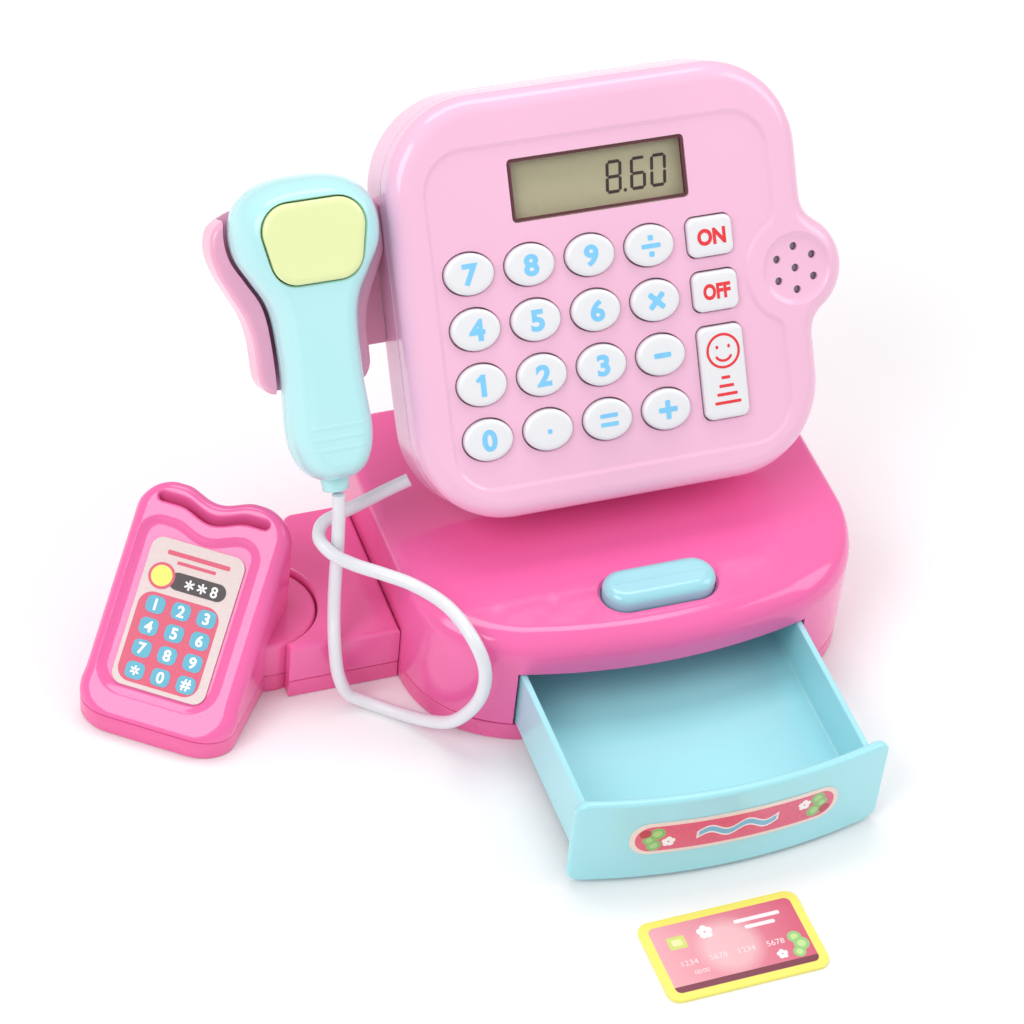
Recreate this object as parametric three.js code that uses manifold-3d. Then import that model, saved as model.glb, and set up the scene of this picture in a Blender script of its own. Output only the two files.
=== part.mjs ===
// Toy cash register with a calculator head, a sprung drawer, a swivelling card reader
// and a hand scanner on a cord. Millimetres, +Z up, the shopper's side faces -Y.
// The origin is on the ground under the middle of the base.

import * as THREE from 'three';
import { mergeVertices } from 'three/addons/utils/BufferGeometryUtils.js';
import Module from 'manifold-3d';

const wasm = await Module();
wasm.setup();

// ---------------------------------------------------------------- driving dimensions

const GAP = 0.3; // free space kept between pieces that touch

const BASE = { side: 75.5, front: -55.2, back: 61, height: 43.5, seam: 7, wall: 2.4 };
const BOW = { radius: 198, nose: -61.1 }; // the base's front is an arc with its nose on x = 0
const FRONT_FILLET = 9;
const SIDE_FILLET = 3.5;

const DRAWER = {
  travel: 58, length: 97, half: 47.9, floor: 11.9, bottom: 7.4, top: 29.9, wall: 2,
  panelHalf: 51.5, panelLow: 1.4, panelTop: 36, panelThick: 3.2,
};
const DRAWER_LABEL = { length: 62, height: 14, thick: 0.4 };

const BUTTON = { length: 39, width: 15, y: -41, top: 48.2, bottom: 38.5, travel: 2.5 };
const LEVER = { low: 31.2, high: 34.2, half: 4, front: -45, back: 44, pivotZ: 32.7, pinRadius: 1.8 };

const HEAD = {
  centre: [0, 18.8, 117.4], lean: 33.7, half: 68.2, halfHeight: 67, corner: 30,
  seam: -10.5, back: -29.5, wall: 2.5, edge: 6, side: 3,
};
const EAR = { x: 63.2, y: -2.25, radius: 17, fillet: 10, holeRing: 7, holeRadius: 1.3 };

const KEY = { pitchX: 20, pitchY: 17.54, left: -45.8, top: 12.45, a: 8, b: 6.55, proud: 1.6, travel: 1.2 };
const WINDOW = { y: 35.8, width: 59, height: 20 };

const SCANNER = { x: -94.8, middle: -7, front: 7, back: -22, triggerTravel: 1.5 };
const CRADLE = { front: -13, back: -25.5, floor: -22.6, clearance: 0.7 };

const PIVOT = [-116, 3]; // the reader's swivel, on the plan
const ARM = { height: 22, front: -19, back: 41, tip: -112.4, backEnd: -97.5, horn: 48, wall: 2, cut: 18.3 };
const READER = {
  anchor: [-160.1, -28.9], yaw: -37, tilt: 51, half: 28, depth: 65, seam: 7, wall: 2.2,
  lobe: 17.8, lobeTop: 20.5, tongueLow: 11, tongueHigh: 14, post: 4,
};
const READER_LABEL = { width: 30.4, height: 47, b: 37.5 };

const CORD_RADIUS = 2.15;
const CARD = { x: -10.8, y: -152.6, width: 53, depth: 31, thick: 1.2, turn: 1 };

// ---------------------------------------------------------------- finishes

const plastic = (color, roughness = 0.3) =>
  new THREE.MeshStandardMaterial({ color, roughness, metalness: 0 });
const metal = (color) => new THREE.MeshStandardMaterial({ color, roughness: 0.35, metalness: 1 });

const HOT_PINK = 0xff6fb3;
const PALE_PINK = 0xffc0df;
const MINT = 0xb5e5ec;
const LIME = 0xeef8b0;
const WHITE = 0xf5f5f5;
const RUBBER = 0xd8d8d8;
const GREEN_BOARD = 0x2f7d4f;
const STEEL = 0xb8bcc0;

// ---------------------------------------------------------------- solids and cuts

function solid(geometry) {
  const bare = geometry.clone();
  for (const name of Object.keys(bare.attributes)) if (name !== 'position') bare.deleteAttribute(name);
  const merged = mergeVertices(bare, 1e-4);
  return new wasm.Manifold(new wasm.Mesh({
    numProp: 3,
    vertProperties: new Float32Array(merged.attributes.position.array),
    triVerts: new Uint32Array(merged.index.array),
  }));
}

function geometryOf(manifold) {
  const mesh = manifold.getMesh();
  const geometry = new THREE.BufferGeometry();
  geometry.setAttribute('position', new THREE.BufferAttribute(new Float32Array(mesh.vertProperties), 3));
  geometry.setIndex(new THREE.BufferAttribute(new Uint32Array(mesh.triVerts), 1));
  geometry.computeVertexNormals();
  return geometry;
}

const box = (x0, x1, y0, y1, z0, z1) =>
  solid(new THREE.BoxGeometry(x1 - x0, y1 - y0, z1 - z0)
    .translate((x0 + x1) / 2, (y0 + y1) / 2, (z0 + z1) / 2));

// A round bar along Z.
const rod = (x, y, radius, z0, z1, sides = 20) =>
  solid(new THREE.CylinderGeometry(radius, radius, z1 - z0, sides)
    .rotateX(Math.PI / 2).translate(x, y, (z0 + z1) / 2));

// ---------------------------------------------------------------- outlines

const vec = (x, y) => new THREE.Vector2(x, y);

// A polygon with round corners, counter-clockwise. Each corner is [x, y, radius].
function rounded(corners, segments = 5) {
  const points = [];
  corners.forEach(([x, y, r], i) => {
    const here = vec(x, y);
    if (!r) { points.push(here); return; }
    const before = vec(...corners.at(i - 1)).sub(here).normalize();
    const after = vec(...corners[(i + 1) % corners.length]).sub(here).normalize();
    const half = Math.acos(before.dot(after)) / 2;
    const centre = here.clone().addScaledVector(before.clone().add(after).normalize(), r / Math.sin(half));
    const reach = r / Math.tan(half);
    const from = here.clone().addScaledVector(before, reach).sub(centre);
    const to = here.clone().addScaledVector(after, reach).sub(centre);
    const sweep = Math.atan2(from.cross(to), from.dot(to));
    for (let k = 0; k <= segments; k++) {
      points.push(from.clone().rotateAround(vec(0, 0), (sweep * k) / segments).add(centre));
    }
  });
  return points;
}

const rectangle = (width, height, radius, x = 0, y = 0, segments = 4) => rounded([
  [x - width / 2, y - height / 2, radius], [x + width / 2, y - height / 2, radius],
  [x + width / 2, y + height / 2, radius], [x - width / 2, y + height / 2, radius],
], segments);

function ellipse(a, b, x = 0, y = 0, count = 14) {
  return Array.from({ length: count }, (_, i) => {
    const t = (2 * Math.PI * i) / count;
    return vec(x + a * Math.cos(t), y + b * Math.sin(t));
  });
}

// Each point of an outline moves inwards by a distance, given as a number or point by point.
function inset(points, distance) {
  const n = points.length;
  return points.map((p, i) => {
    const before = p.clone().sub(points[(i + n - 1) % n]).normalize();
    const after = points[(i + 1) % n].clone().sub(p).normalize();
    const normal = vec(-before.y - after.y, before.x + after.x).normalize();
    const mitre = Math.max(0.5, normal.dot(vec(-after.y, after.x)));
    const d = typeof distance === 'number' ? distance : distance[i];
    return p.clone().addScaledVector(normal, d / mitre);
  });
}

// A closed smooth curve through the right half of a symmetric outline, from top to bottom.
function symmetric(half, count) {
  const knots = [
    ...half.map(([x, y]) => new THREE.Vector3(x, y, 0)),
    ...half.slice(1, -1).reverse().map(([x, y]) => new THREE.Vector3(-x, y, 0)),
  ].reverse();
  const curve = new THREE.CatmullRomCurve3(knots, true, 'centripetal');
  return curve.getSpacedPoints(count).slice(0, count).map((p) => vec(p.x, p.y));
}

const prism = (points, z0, z1) =>
  solid(new THREE.ExtrudeGeometry(new THREE.Shape(points), { depth: z1 - z0, bevelEnabled: false })
    .translate(0, 0, z0));

// A closed skin over a stack of rings with equal point counts, lowest ring first. A ring is
// { points, z }, where z is a number or a height for each point.
function stack(rings) {
  const n = rings[0].points.length;
  const position = rings.flatMap(({ points, z }) =>
    points.flatMap((p, i) => [p.x, p.y, typeof z === 'number' ? z : z[i]]));
  const index = [];
  for (let r = 0; r + 1 < rings.length; r++) {
    for (let i = 0; i < n; i++) {
      const a = r * n + i;
      const b = r * n + ((i + 1) % n);
      index.push(a, b, b + n, a, b + n, a + n);
    }
  }
  const last = (rings.length - 1) * n;
  for (const [a, b, c] of THREE.ShapeUtils.triangulateShape(rings[0].points, [])) index.push(c, b, a);
  for (const [a, b, c] of THREE.ShapeUtils.triangulateShape(rings.at(-1).points, [])) {
    index.push(last + a, last + b, last + c);
  }
  const geometry = new THREE.BufferGeometry();
  geometry.setAttribute('position', new THREE.Float32BufferAttribute(position, 3));
  geometry.setIndex(index);
  return solid(geometry);
}

// A slab whose upper or lower edge is rounded by a quarter circle.
function softSlab(points, z0, z1, { top = 0, bottom = 0, steps = 3 } = {}) {
  const rings = [];
  const quarter = (k) => ((k / steps) * Math.PI) / 2;
  if (bottom) {
    for (let k = steps; k > 0; k--) {
      const t = quarter(k);
      rings.push({ points: inset(points, bottom * (1 - Math.cos(t))), z: z0 + bottom * (1 - Math.sin(t)) });
    }
    rings.push({ points, z: z0 + bottom });
  } else rings.push({ points, z: z0 });
  if (top) {
    rings.push({ points, z: z1 - top });
    for (let k = 1; k <= steps; k++) {
      const t = quarter(k);
      rings.push({ points: inset(points, top * (1 - Math.cos(t))), z: z1 - top * (1 - Math.sin(t)) });
    }
  } else rings.push({ points, z: z1 });
  return stack(rings);
}

// ---------------------------------------------------------------- the assembly

const register = new THREE.Group();
const head = new THREE.Group();
head.position.set(...HEAD.centre);
head.rotation.x = THREE.MathUtils.degToRad(90 - HEAD.lean);
const reader = new THREE.Group();
reader.position.set(READER.anchor[0], READER.anchor[1], 0);
reader.rotation.z = THREE.MathUtils.degToRad(READER.yaw);
const readerFace = new THREE.Group();
readerFace.position.z = READER.seam;
readerFace.rotation.x = THREE.MathUtils.degToRad(90 - READER.tilt);
reader.add(readerFace);
register.add(head, reader);

function piece(group, name, shape, material) {
  const mesh = new THREE.Mesh(shape.isBufferGeometry ? shape : geometryOf(shape), material);
  mesh.name = name;
  group.add(mesh);
  return mesh;
}

// A pan-head screw with its head down, its tip up, and the hole that it needs.
const screw = (x, y, z, length, headRadius = 3.4) =>
  solid(new THREE.LatheGeometry([
    vec(0, 0), vec(headRadius - 0.6, 0), vec(headRadius, 0.6), vec(headRadius, 1.8),
    vec(1.5, 1.8), vec(1.5, length - 1), vec(0.4, length), vec(0, length),
  ], 12).rotateX(Math.PI / 2).translate(x, y, z));

// ---------------------------------------------------------------- base case

// The front is a wide arc. Its height above the chord falls from the nose to the corners.
const bowY = (x, nose = BOW.nose, radius = BOW.radius) => nose + radius - Math.sqrt(radius ** 2 - x ** 2);

function baseOutline() {
  const points = [];
  const bowHalf = 48;
  for (let i = 0; i <= 8; i++) {
    const x = -bowHalf + (2 * bowHalf * i) / 8;
    points.push(vec(x, bowY(x)));
  }
  // From the end of the arc, the front corner sweeps round into the side.
  const corner = new THREE.CubicBezierCurve(
    vec(bowHalf, bowY(bowHalf)), vec(62, -50.2), vec(BASE.side, -40), vec(BASE.side, -17));
  const sweep = corner.getPoints(8).slice(1);
  points.push(...sweep);
  points.push(...rounded([
    [BASE.side, 0, 0], [BASE.side, BASE.back, 15], [-BASE.side, BASE.back, 15], [-BASE.side, 0, 0],
  ], 5));
  points.push(...sweep.map((p) => vec(-p.x, p.y)).reverse());
  return points;
}

const BASE_OUTLINE = baseOutline();
const SCREW_PLACES = [[-62, 46], [62, 46], [-61, -26], [61, -26]];

function baseCover() {
  const steps = 3;
  const radius = BASE_OUTLINE.map((p) =>
    SIDE_FILLET + (FRONT_FILLET - SIDE_FILLET) * THREE.MathUtils.smoothstep(-p.y, 15, 45));
  const rings = [{ points: BASE_OUTLINE, z: BASE.seam + GAP }];
  for (let k = 0; k <= steps; k++) {
    const t = ((k / steps) * Math.PI) / 2;
    rings.push({
      points: inset(BASE_OUTLINE, radius.map((r) => r * (1 - Math.cos(t)))),
      z: radius.map((r) => BASE.height - r * (1 - Math.sin(t))),
    });
  }
  const inner = inset(BASE_OUTLINE, BASE.wall);
  const hollow = softSlab(inner, 0, BASE.height - BASE.wall, { top: 5, steps: 2 });
  const doorway = box(-DRAWER.half - 1, DRAWER.half + 1, -70, -46, 0, DRAWER.top + 0.7);
  const buttonHole = prism(rectangle(BUTTON.length + 0.8, BUTTON.width + 0.8,
    BUTTON.width / 2 - 0.1, 0, BUTTON.y, 5), 35, 60);
  let cover = stack(rings).subtract(hollow).subtract(doorway).subtract(buttonHole);
  for (const [x, y] of SCREW_PLACES) {
    cover = cover.add(rod(x, y, 4, BASE.seam + GAP, BASE.height - 2, 12))
      .subtract(rod(x, y, 1.8, 0, 18, 12));
  }
  // Two hangers hold the latch lever's trunnions.
  for (const side of [-1, 1]) {
    const x = side * (LEVER.half + 3);
    const pinHole = solid(new THREE.CylinderGeometry(LEVER.pinRadius + GAP, LEVER.pinRadius + GAP, 12, 12)
      .rotateZ(Math.PI / 2).translate(x, 0, LEVER.pivotZ));
    cover = cover.add(box(x - 1.5, x + 1.5, -4.5, 4.5, 30.8, BASE.height - 2)).subtract(pinHole);
  }
  return cover;
}

function basePlate() {
  let plate = prism(BASE_OUTLINE, 0, BASE.seam).subtract(prism(inset(BASE_OUTLINE, 2.4), 2.2, 20));
  for (const x of [-36, 36]) plate = plate.add(box(x - 1.2, x + 1.2, -56, 58, 1, BASE.seam));
  for (const [x, y] of SCREW_PLACES) {
    plate = plate.add(rod(x, y, 5.5, 0, BASE.seam, 16))
      .subtract(rod(x, y, 4, -1, 2.6, 12)).subtract(rod(x, y, 1.8, -1, 20, 12));
  }
  return plate;
}

piece(register, 'base_cover', baseCover(), plastic(HOT_PINK, 0.25));
piece(register, 'base_plate', basePlate(), plastic(HOT_PINK, 0.35));
SCREW_PLACES.forEach(([x, y], i) => {
  piece(register, `base_screw_${i + 1}`, screw(x, y, 0.4, 14.5), metal(STEEL));
});

// ---------------------------------------------------------------- drawer

// A band between two arcs about the bow's centre, moved forward, from z0 to z1.
function bowBand(half, near, thick, z0, z1) {
  const points = [];
  for (let i = 0; i <= 12; i++) {
    const x = -half + (2 * half * i) / 12;
    points.push(vec(x, bowY(x) - near - thick));
  }
  for (let i = 12; i >= 0; i--) {
    const x = -half + (2 * half * i) / 12;
    points.push(vec(x, bowY(x) - near));
  }
  return prism(points, z0, z1);
}

// A prism whose outline stands in the XZ plane and which runs along Y.
const alongY = (points, y0, y1) =>
  solid(new THREE.ExtrudeGeometry(new THREE.Shape(points), { depth: y1 - y0, bevelEnabled: false })
    .rotateX(Math.PI / 2).translate(0, y1, 0));

const PANEL_NEAR = DRAWER.travel + GAP;
const TRAY_FRONT = bowY(DRAWER.half) - PANEL_NEAR;
const TRAY_BACK = TRAY_FRONT + DRAWER.length;

function drawer() {
  const { half, wall, bottom, top, floor } = DRAWER;
  const middle = (DRAWER.panelLow + DRAWER.panelTop) / 2;
  const panel = bowBand(60, PANEL_NEAR, DRAWER.panelThick, 0, 40).intersect(
    alongY(rectangle(2 * DRAWER.panelHalf, DRAWER.panelTop - DRAWER.panelLow, 4.5, 0, middle), -140, -90));
  const deep = -125;
  return box(-half, half, deep, TRAY_BACK, bottom, top)
    .subtract(box(-half + wall, half - wall, deep - 1, TRAY_BACK - wall, floor, top + 5))
    .subtract(box(-half + wall, half - wall, deep - 1, TRAY_BACK - wall, 0, floor - wall))
    .subtract(bowBand(60, PANEL_NEAR + 1, 40, -5, 60))
    .add(panel);
}

function drawerLabel() {
  const { length, height, thick } = DRAWER_LABEL;
  const near = PANEL_NEAR + DRAWER.panelThick + GAP;
  const middle = (DRAWER.panelLow + DRAWER.panelTop) / 2 + 0.5;
  return bowBand(40, near, thick, 0, 40)
    .intersect(alongY(rectangle(length, height, height / 2 - 0.3, 0, middle, 6), -140, -90));
}

// A coil spring along Z, its wire swept along a helix.
function spring(radius, wire, turns, length, sides = 4, perTurn = 8) {
  class Helix extends THREE.Curve {
    getPoint(t, target = new THREE.Vector3()) {
      const angle = 2 * Math.PI * turns * t;
      return target.set(radius * Math.cos(angle), radius * Math.sin(angle), length * t);
    }
  }
  return new THREE.ExtrudeGeometry(new THREE.Shape(ellipse(wire, wire, 0, 0, sides)),
    { steps: Math.round(turns * perTurn), extrudePath: new Helix(), bevelEnabled: false });
}

piece(register, 'drawer', drawer(), plastic(MINT));
piece(register, 'drawer_label', drawerLabel(), plastic(0xf06a8c, 0.45));

const springStart = TRAY_BACK + 1;
const drawerSpring = spring(5, 0.5, 13, BASE.back - BASE.wall - 1.2 - springStart)
  .rotateX(-Math.PI / 2).translate(0, springStart, 19);
piece(register, 'drawer_spring', solid(drawerSpring), metal(STEEL));

// ---------------------------------------------------------------- drawer release

function releaseButton() {
  const outline = rectangle(BUTTON.length, BUTTON.width, BUTTON.width / 2 - 0.5, 0, BUTTON.y, 5);
  const flange = rectangle(BUTTON.length + 2.4, BUTTON.width + 2.4, BUTTON.width / 2 + 0.7, 0, BUTTON.y, 5);
  return softSlab(outline, BUTTON.bottom, BUTTON.top, { top: 3, steps: 3 })
    .add(prism(flange, BUTTON.bottom, BUTTON.bottom + 2))
    .add(box(-3, 3, BUTTON.y - 1.5, BUTTON.y + 1.5, LEVER.high + GAP, BUTTON.bottom + 1));
}

function latchLever() {
  const { half, front, back, low, high, pivotZ, pinRadius } = LEVER;
  const trunnion = solid(new THREE.CylinderGeometry(pinRadius, pinRadius, 2 * half + 8, 12)
    .rotateZ(Math.PI / 2).translate(0, 0, pivotZ));
  const hook = box(-half, half, back - 2.5, back, 30.4, high);
  return box(-half, half, front, back, low, high).add(trunnion).add(hook);
}

piece(register, 'release_button', releaseButton(), plastic(MINT));
piece(register, 'latch_lever', latchLever(), plastic(WHITE, 0.5));
piece(register, 'latch_spring',
  solid(spring(2.6, 0.35, 4, BASE.height - BASE.wall - 0.9 - LEVER.high - 0.7)
    .translate(0, 36, LEVER.high + 0.7)), metal(STEEL));

// ---------------------------------------------------------------- neck

// A wedge-shaped post that carries the tilted head from behind.
function neck() {
  const lean = THREE.MathUtils.degToRad(HEAD.lean);
  const along = (v, w) => [
    HEAD.centre[1] + v * Math.sin(lean) - w * Math.cos(lean),
    HEAD.centre[2] + v * Math.cos(lean) + w * Math.sin(lean),
  ];
  const behind = HEAD.back - GAP;
  const [lowY] = along(-60, behind);
  const [topY, topZ] = along(-8, behind);
  const foot = BASE.height + GAP;
  const profile = rounded([
    [along(-65.5, behind)[0], foot, 0], [58, foot, 0], [58, 74, 12], [topY + 4, topZ - 1, 4],
    [topY, topZ, 0], [lowY, along(-60, behind)[1], 0],
  ], 4);
  const shape = new THREE.ExtrudeGeometry(new THREE.Shape(profile), {
    depth: 46, bevelEnabled: true, bevelThickness: 3, bevelSize: 3, bevelOffset: -3, bevelSegments: 2,
  }).translate(0, 0, -23);
  shape.applyMatrix4(new THREE.Matrix4().makeBasis(
    new THREE.Vector3(0, 1, 0), new THREE.Vector3(0, 0, 1), new THREE.Vector3(1, 0, 0)));
  const inner = rounded([[20, 0, 0], [54, 0, 0], [54, 70, 9], [44, 78, 4]], 3);
  const hollow = new THREE.ExtrudeGeometry(new THREE.Shape(inner), { depth: 42, bevelEnabled: false })
    .translate(0, 0, -21);
  hollow.applyMatrix4(new THREE.Matrix4().makeBasis(
    new THREE.Vector3(0, 1, 0), new THREE.Vector3(0, 0, 1), new THREE.Vector3(1, 0, 0)));
  return solid(shape).subtract(solid(hollow));
}
piece(register, 'neck', neck(), plastic(HOT_PINK, 0.25));

// ---------------------------------------------------------------- calculator head

// The face is a rounded square with a round ear on the right for the loudspeaker.
function headOutline() {
  const { half: w, halfHeight: h, corner: r } = HEAD;
  const { x, y, radius, fillet: f } = EAR;
  const rise = Math.sqrt((radius + f) ** 2 - (w + f - x) ** 2);
  const turn = Math.atan2(rise, w + f - x);
  const shape = new THREE.Shape();
  shape.moveTo(-w + r, -h);
  shape.lineTo(w - r, -h);
  shape.absarc(w - r, -h + r, r, -Math.PI / 2, 0);
  shape.absarc(w + f, y - rise, f, Math.PI, Math.PI - turn, true);
  shape.absarc(x, y, radius, -turn, turn);
  shape.absarc(w + f, y + rise, f, Math.PI + turn, Math.PI, true);
  shape.absarc(w - r, h - r, r, 0, Math.PI / 2);
  shape.absarc(-w + r, h - r, r, Math.PI / 2, Math.PI);
  shape.absarc(-w + r, -h + r, r, Math.PI, 1.5 * Math.PI);
  const points = shape.getPoints(4);
  return points.filter((p, i) => p.distanceTo(points.at(i - 1)) > 0.01);
}

const HEAD_OUTLINE = headOutline();
const ROUND_KEYS = [
  ['7', '8', '9', 'divide'], ['4', '5', '6', 'times'], ['1', '2', '3', 'minus'], ['0', 'point', 'equals', 'plus'],
];
const keyX = (column) => KEY.left + KEY.pitchX * column;
const keyY = (row) => KEY.top - KEY.pitchY * row;
const KEYS = [];
ROUND_KEYS.forEach((names, row) => names.forEach((name, column) => {
  KEYS.push({ name: `key_${name}`, outline: ellipse(KEY.a, KEY.b, keyX(column), keyY(row)) });
}));
const SIDE_KEY_X = 34.7;
const sideKey = (y, height) => rectangle(15, height, 2.5, SIDE_KEY_X, y, 2);
KEYS.push({ name: 'key_on', outline: sideKey(keyY(0), 12.6) });
KEYS.push({ name: 'key_off', outline: sideKey(keyY(1), 12.6) });
KEYS.push({ name: 'key_smile', outline: sideKey((keyY(2) + keyY(3)) / 2, 30) });

const HEAD_SCREWS = [[-59, -41], [59, -41]];

function headFront() {
  let shell = softSlab(HEAD_OUTLINE, HEAD.seam, 0, { top: HEAD.edge, steps: 2 })
    .subtract(prism(inset(HEAD_OUTLINE, HEAD.side), HEAD.seam - 5, -HEAD.wall));
  for (const { outline } of KEYS) shell = shell.subtract(prism(inset(outline, -0.35), -9, 9));
  shell = shell.subtract(prism(rectangle(WINDOW.width, WINDOW.height, 1.5, 0, WINDOW.y, 2), -9, 9));
  // Inside, a ledge round the opening holds the clear window.
  const ledge = prism(rectangle(WINDOW.width + 4, WINDOW.height + 4, 1, 0, WINDOW.y, 1), -3.6, -2)
    .subtract(prism(rectangle(WINDOW.width - 1.6, WINDOW.height - 1.6, 1, 0, WINDOW.y, 1), -9, 9))
    .subtract(prism(rectangle(WINDOW.width, WINDOW.height, 1.5, 0, WINDOW.y, 2), -2.4, 9));
  shell = shell.add(ledge);
  const dish = softSlab(ellipse(11.5, 11.5, EAR.x, EAR.y, 20), -1.2, 4, { bottom: 1, steps: 1 });
  shell = shell.subtract(dish).subtract(rod(EAR.x, EAR.y, EAR.holeRadius, -9, 9, 8));
  for (let i = 0; i < 6; i++) {
    const t = Math.PI / 2 + (i * Math.PI) / 3;
    shell = shell.subtract(rod(EAR.x + EAR.holeRing * Math.cos(t), EAR.y + EAR.holeRing * Math.sin(t),
      EAR.holeRadius, -9, 9, 8));
  }
  for (const [x, y] of HEAD_SCREWS) {
    shell = shell.add(rod(x, y, 3.5, HEAD.seam, -1.5, 12)).subtract(rod(x, y, 1.8, -30, -3.4, 12));
  }
  return shell;
}

const BATTERY = { radius: 7.1, length: 50, rows: [32, 16.6], z: -18.8 };
const BATTERY_BOX = { width: 58, height: 33.4, y: 24.3, wall: 1.6, floor: -10.9 };
const DOOR = { width: 62, height: 38, thick: 2 };

function headBack() {
  const top = HEAD.seam - GAP;
  const bx = BATTERY_BOX;
  let shell = softSlab(HEAD_OUTLINE, HEAD.back, top, { bottom: 5, steps: 2 })
    .subtract(prism(inset(HEAD_OUTLINE, HEAD.side), HEAD.back + 2.4, 0));
  const outer = prism(rectangle(bx.width + 2 * bx.wall, bx.height + 2 * bx.wall, 2, 0, bx.y, 1), HEAD.back, top);
  const pocket = prism(rectangle(bx.width, bx.height, 1, 0, bx.y, 1), HEAD.back - 5, bx.floor - bx.wall);
  const doorSeat = prism(rectangle(DOOR.width, DOOR.height, 3, 0, bx.y, 2), HEAD.back - 5, HEAD.back + DOOR.thick + GAP);
  shell = shell.add(outer).subtract(pocket).subtract(doorSeat);
  shell = shell.add(box(-30, 30, bx.y - bx.height / 2 - 4, bx.y - bx.height / 2 - 0.5,
    HEAD.back + DOOR.thick + GAP, HEAD.back + 6))
    .subtract(rod(0, bx.y - bx.height / 2 - 2.2, 1.2, HEAD.back - 5, HEAD.back + 5, 8));
  for (const [x, y] of HEAD_SCREWS) {
    shell = shell.add(rod(x, y, 4.5, HEAD.back + 1, top, 12))
      .subtract(rod(x, y, 3.7, HEAD.back - 5, HEAD.back + 4, 12)).subtract(rod(x, y, 1.8, -40, 0, 12));
  }
  return shell;
}

piece(head, 'head_front', headFront(), plastic(PALE_PINK, 0.3));
piece(head, 'head_back', headBack(), plastic(PALE_PINK, 0.3));
HEAD_SCREWS.forEach(([x, y], i) => {
  piece(head, `head_screw_${i + 1}`, screw(x, y, HEAD.back + 1.5, 22, 3.1), metal(STEEL));
});

const windowInset = 0.3;
piece(head, 'display_window', prism(rectangle(WINDOW.width - 2 * windowInset, WINDOW.height - 2 * windowInset,
  1.3, 0, WINDOW.y, 2), -2.1, -0.7), new THREE.MeshStandardMaterial({
  color: 0x7a3a50, roughness: 0.1, metalness: 0, transparent: true, opacity: 0.4 }));
piece(head, 'lcd_panel', box(-32, 32, WINDOW.y - 12.5, WINDOW.y + 12.5, -6.4, -3.9), plastic(0xb5b690, 0.4));
piece(head, 'key_mat', prism(rectangle(100, 70, 3, -4, -15, 1), -7.1, -5.9), plastic(RUBBER, 0.8));
piece(head, 'circuit_board', box(-54, 46, -50, 50, -9, -7.4), plastic(GREEN_BOARD, 0.5));
piece(head, 'speaker', rod(EAR.x, EAR.y, 10, -8, -3, 20).add(rod(EAR.x, EAR.y, 6, -13, -7, 16)), metal(0x9a9a9a));
const batteryDoor = prism(rectangle(DOOR.width - 2 * GAP, DOOR.height - 2 * GAP, 2.8, 0, BATTERY_BOX.y, 2),
  HEAD.back, HEAD.back + DOOR.thick)
  .subtract(rod(0, BATTERY_BOX.y - BATTERY_BOX.height / 2 - 2.2 + 1, 0.01 + 1.2, -60, 0, 8));
piece(head, 'battery_door', batteryDoor, plastic(PALE_PINK, 0.35));
BATTERY.rows.forEach((y, i) => {
  const cell = new THREE.LatheGeometry([
    vec(0, -BATTERY.length / 2), vec(BATTERY.radius, -BATTERY.length / 2), vec(BATTERY.radius, BATTERY.length / 2 - 1),
    vec(2.7, BATTERY.length / 2 - 1), vec(2.7, BATTERY.length / 2), vec(0, BATTERY.length / 2),
  ], 16).rotateZ(i ? Math.PI / 2 : -Math.PI / 2).translate(0, y, BATTERY.z - 1.2);
  piece(head, `battery_${i + 1}`, solid(cell), metal(0x888888));
});

for (const { name, outline } of KEYS) {
  const low = -4.4;
  const top = -HEAD.wall - GAP;
  piece(head, name, stack([
    { points: inset(outline, -1), z: low }, { points: inset(outline, -1), z: top },
    { points: outline, z: top }, { points: outline, z: KEY.proud - 0.6 },
    { points: inset(outline, 0.6), z: KEY.proud },
  ]), plastic(WHITE, 0.35));
}

// ---------------------------------------------------------------- scanner and its cradle

const SCANNER_OUTLINE = symmetric([
  [0, 49.9], [9, 49.3], [16, 46.8], [21, 42], [23, 35], [22.3, 27], [18.2, 19], [14.6, 12.5],
  [13.1, 7], [12.4, -2], [12.3, -12], [12.9, -22], [13.2, -29], [12.2, -36], [9.5, -41.5], [5, -44.6], [0, -45],
], 48);
const CRADLE_OUTLINE = symmetric([
  [0, 41], [14, 41], [21, 39.5], [26.5, 36], [28.2, 30], [27, 23], [23.5, 15], [20, 7.5], [18.4, 0],
  [18.2, -8], [17.8, -13], [15.5, -16.6], [11, -17.5], [0, -17.5],
], 44);
const TRIGGER_OUTLINE = rounded([[-10.5, 18.5, 6], [10.5, 18.5, 6], [16.4, 43, 7], [-16.4, 43, 7]], 4);

function scannerBody() {
  const m = SCANNER.middle;
  const ring = (d, z) => ({ points: inset(SCANNER_OUTLINE, d), z });
  const skin = stack([
    ring(7, SCANNER.back), ring(4.6, SCANNER.back + 0.8), ring(2, SCANNER.back + 4), ring(0.6, SCANNER.back + 9),
    ring(0, m), ring(0.8, m + 7), ring(2.4, m + 11), ring(4.6, m + 13.4), ring(6.2, SCANNER.front),
  ]);
  const nozzle = solid(new THREE.CylinderGeometry(4.7, 4.2, 8, 16).translate(0, -45, m));
  const core = stack([
    ring(6.6, SCANNER.back + 2), ring(4.2, SCANNER.back + 4.5), ring(2.6, SCANNER.back + 9), ring(2.2, m),
    ring(2.8, m + 7), ring(4.2, m + 11.6),
  ]);
  return skin.add(nozzle).subtract(core);
}

const scanner = new THREE.Group();
scanner.position.x = SCANNER.x;
head.add(scanner);

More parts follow.
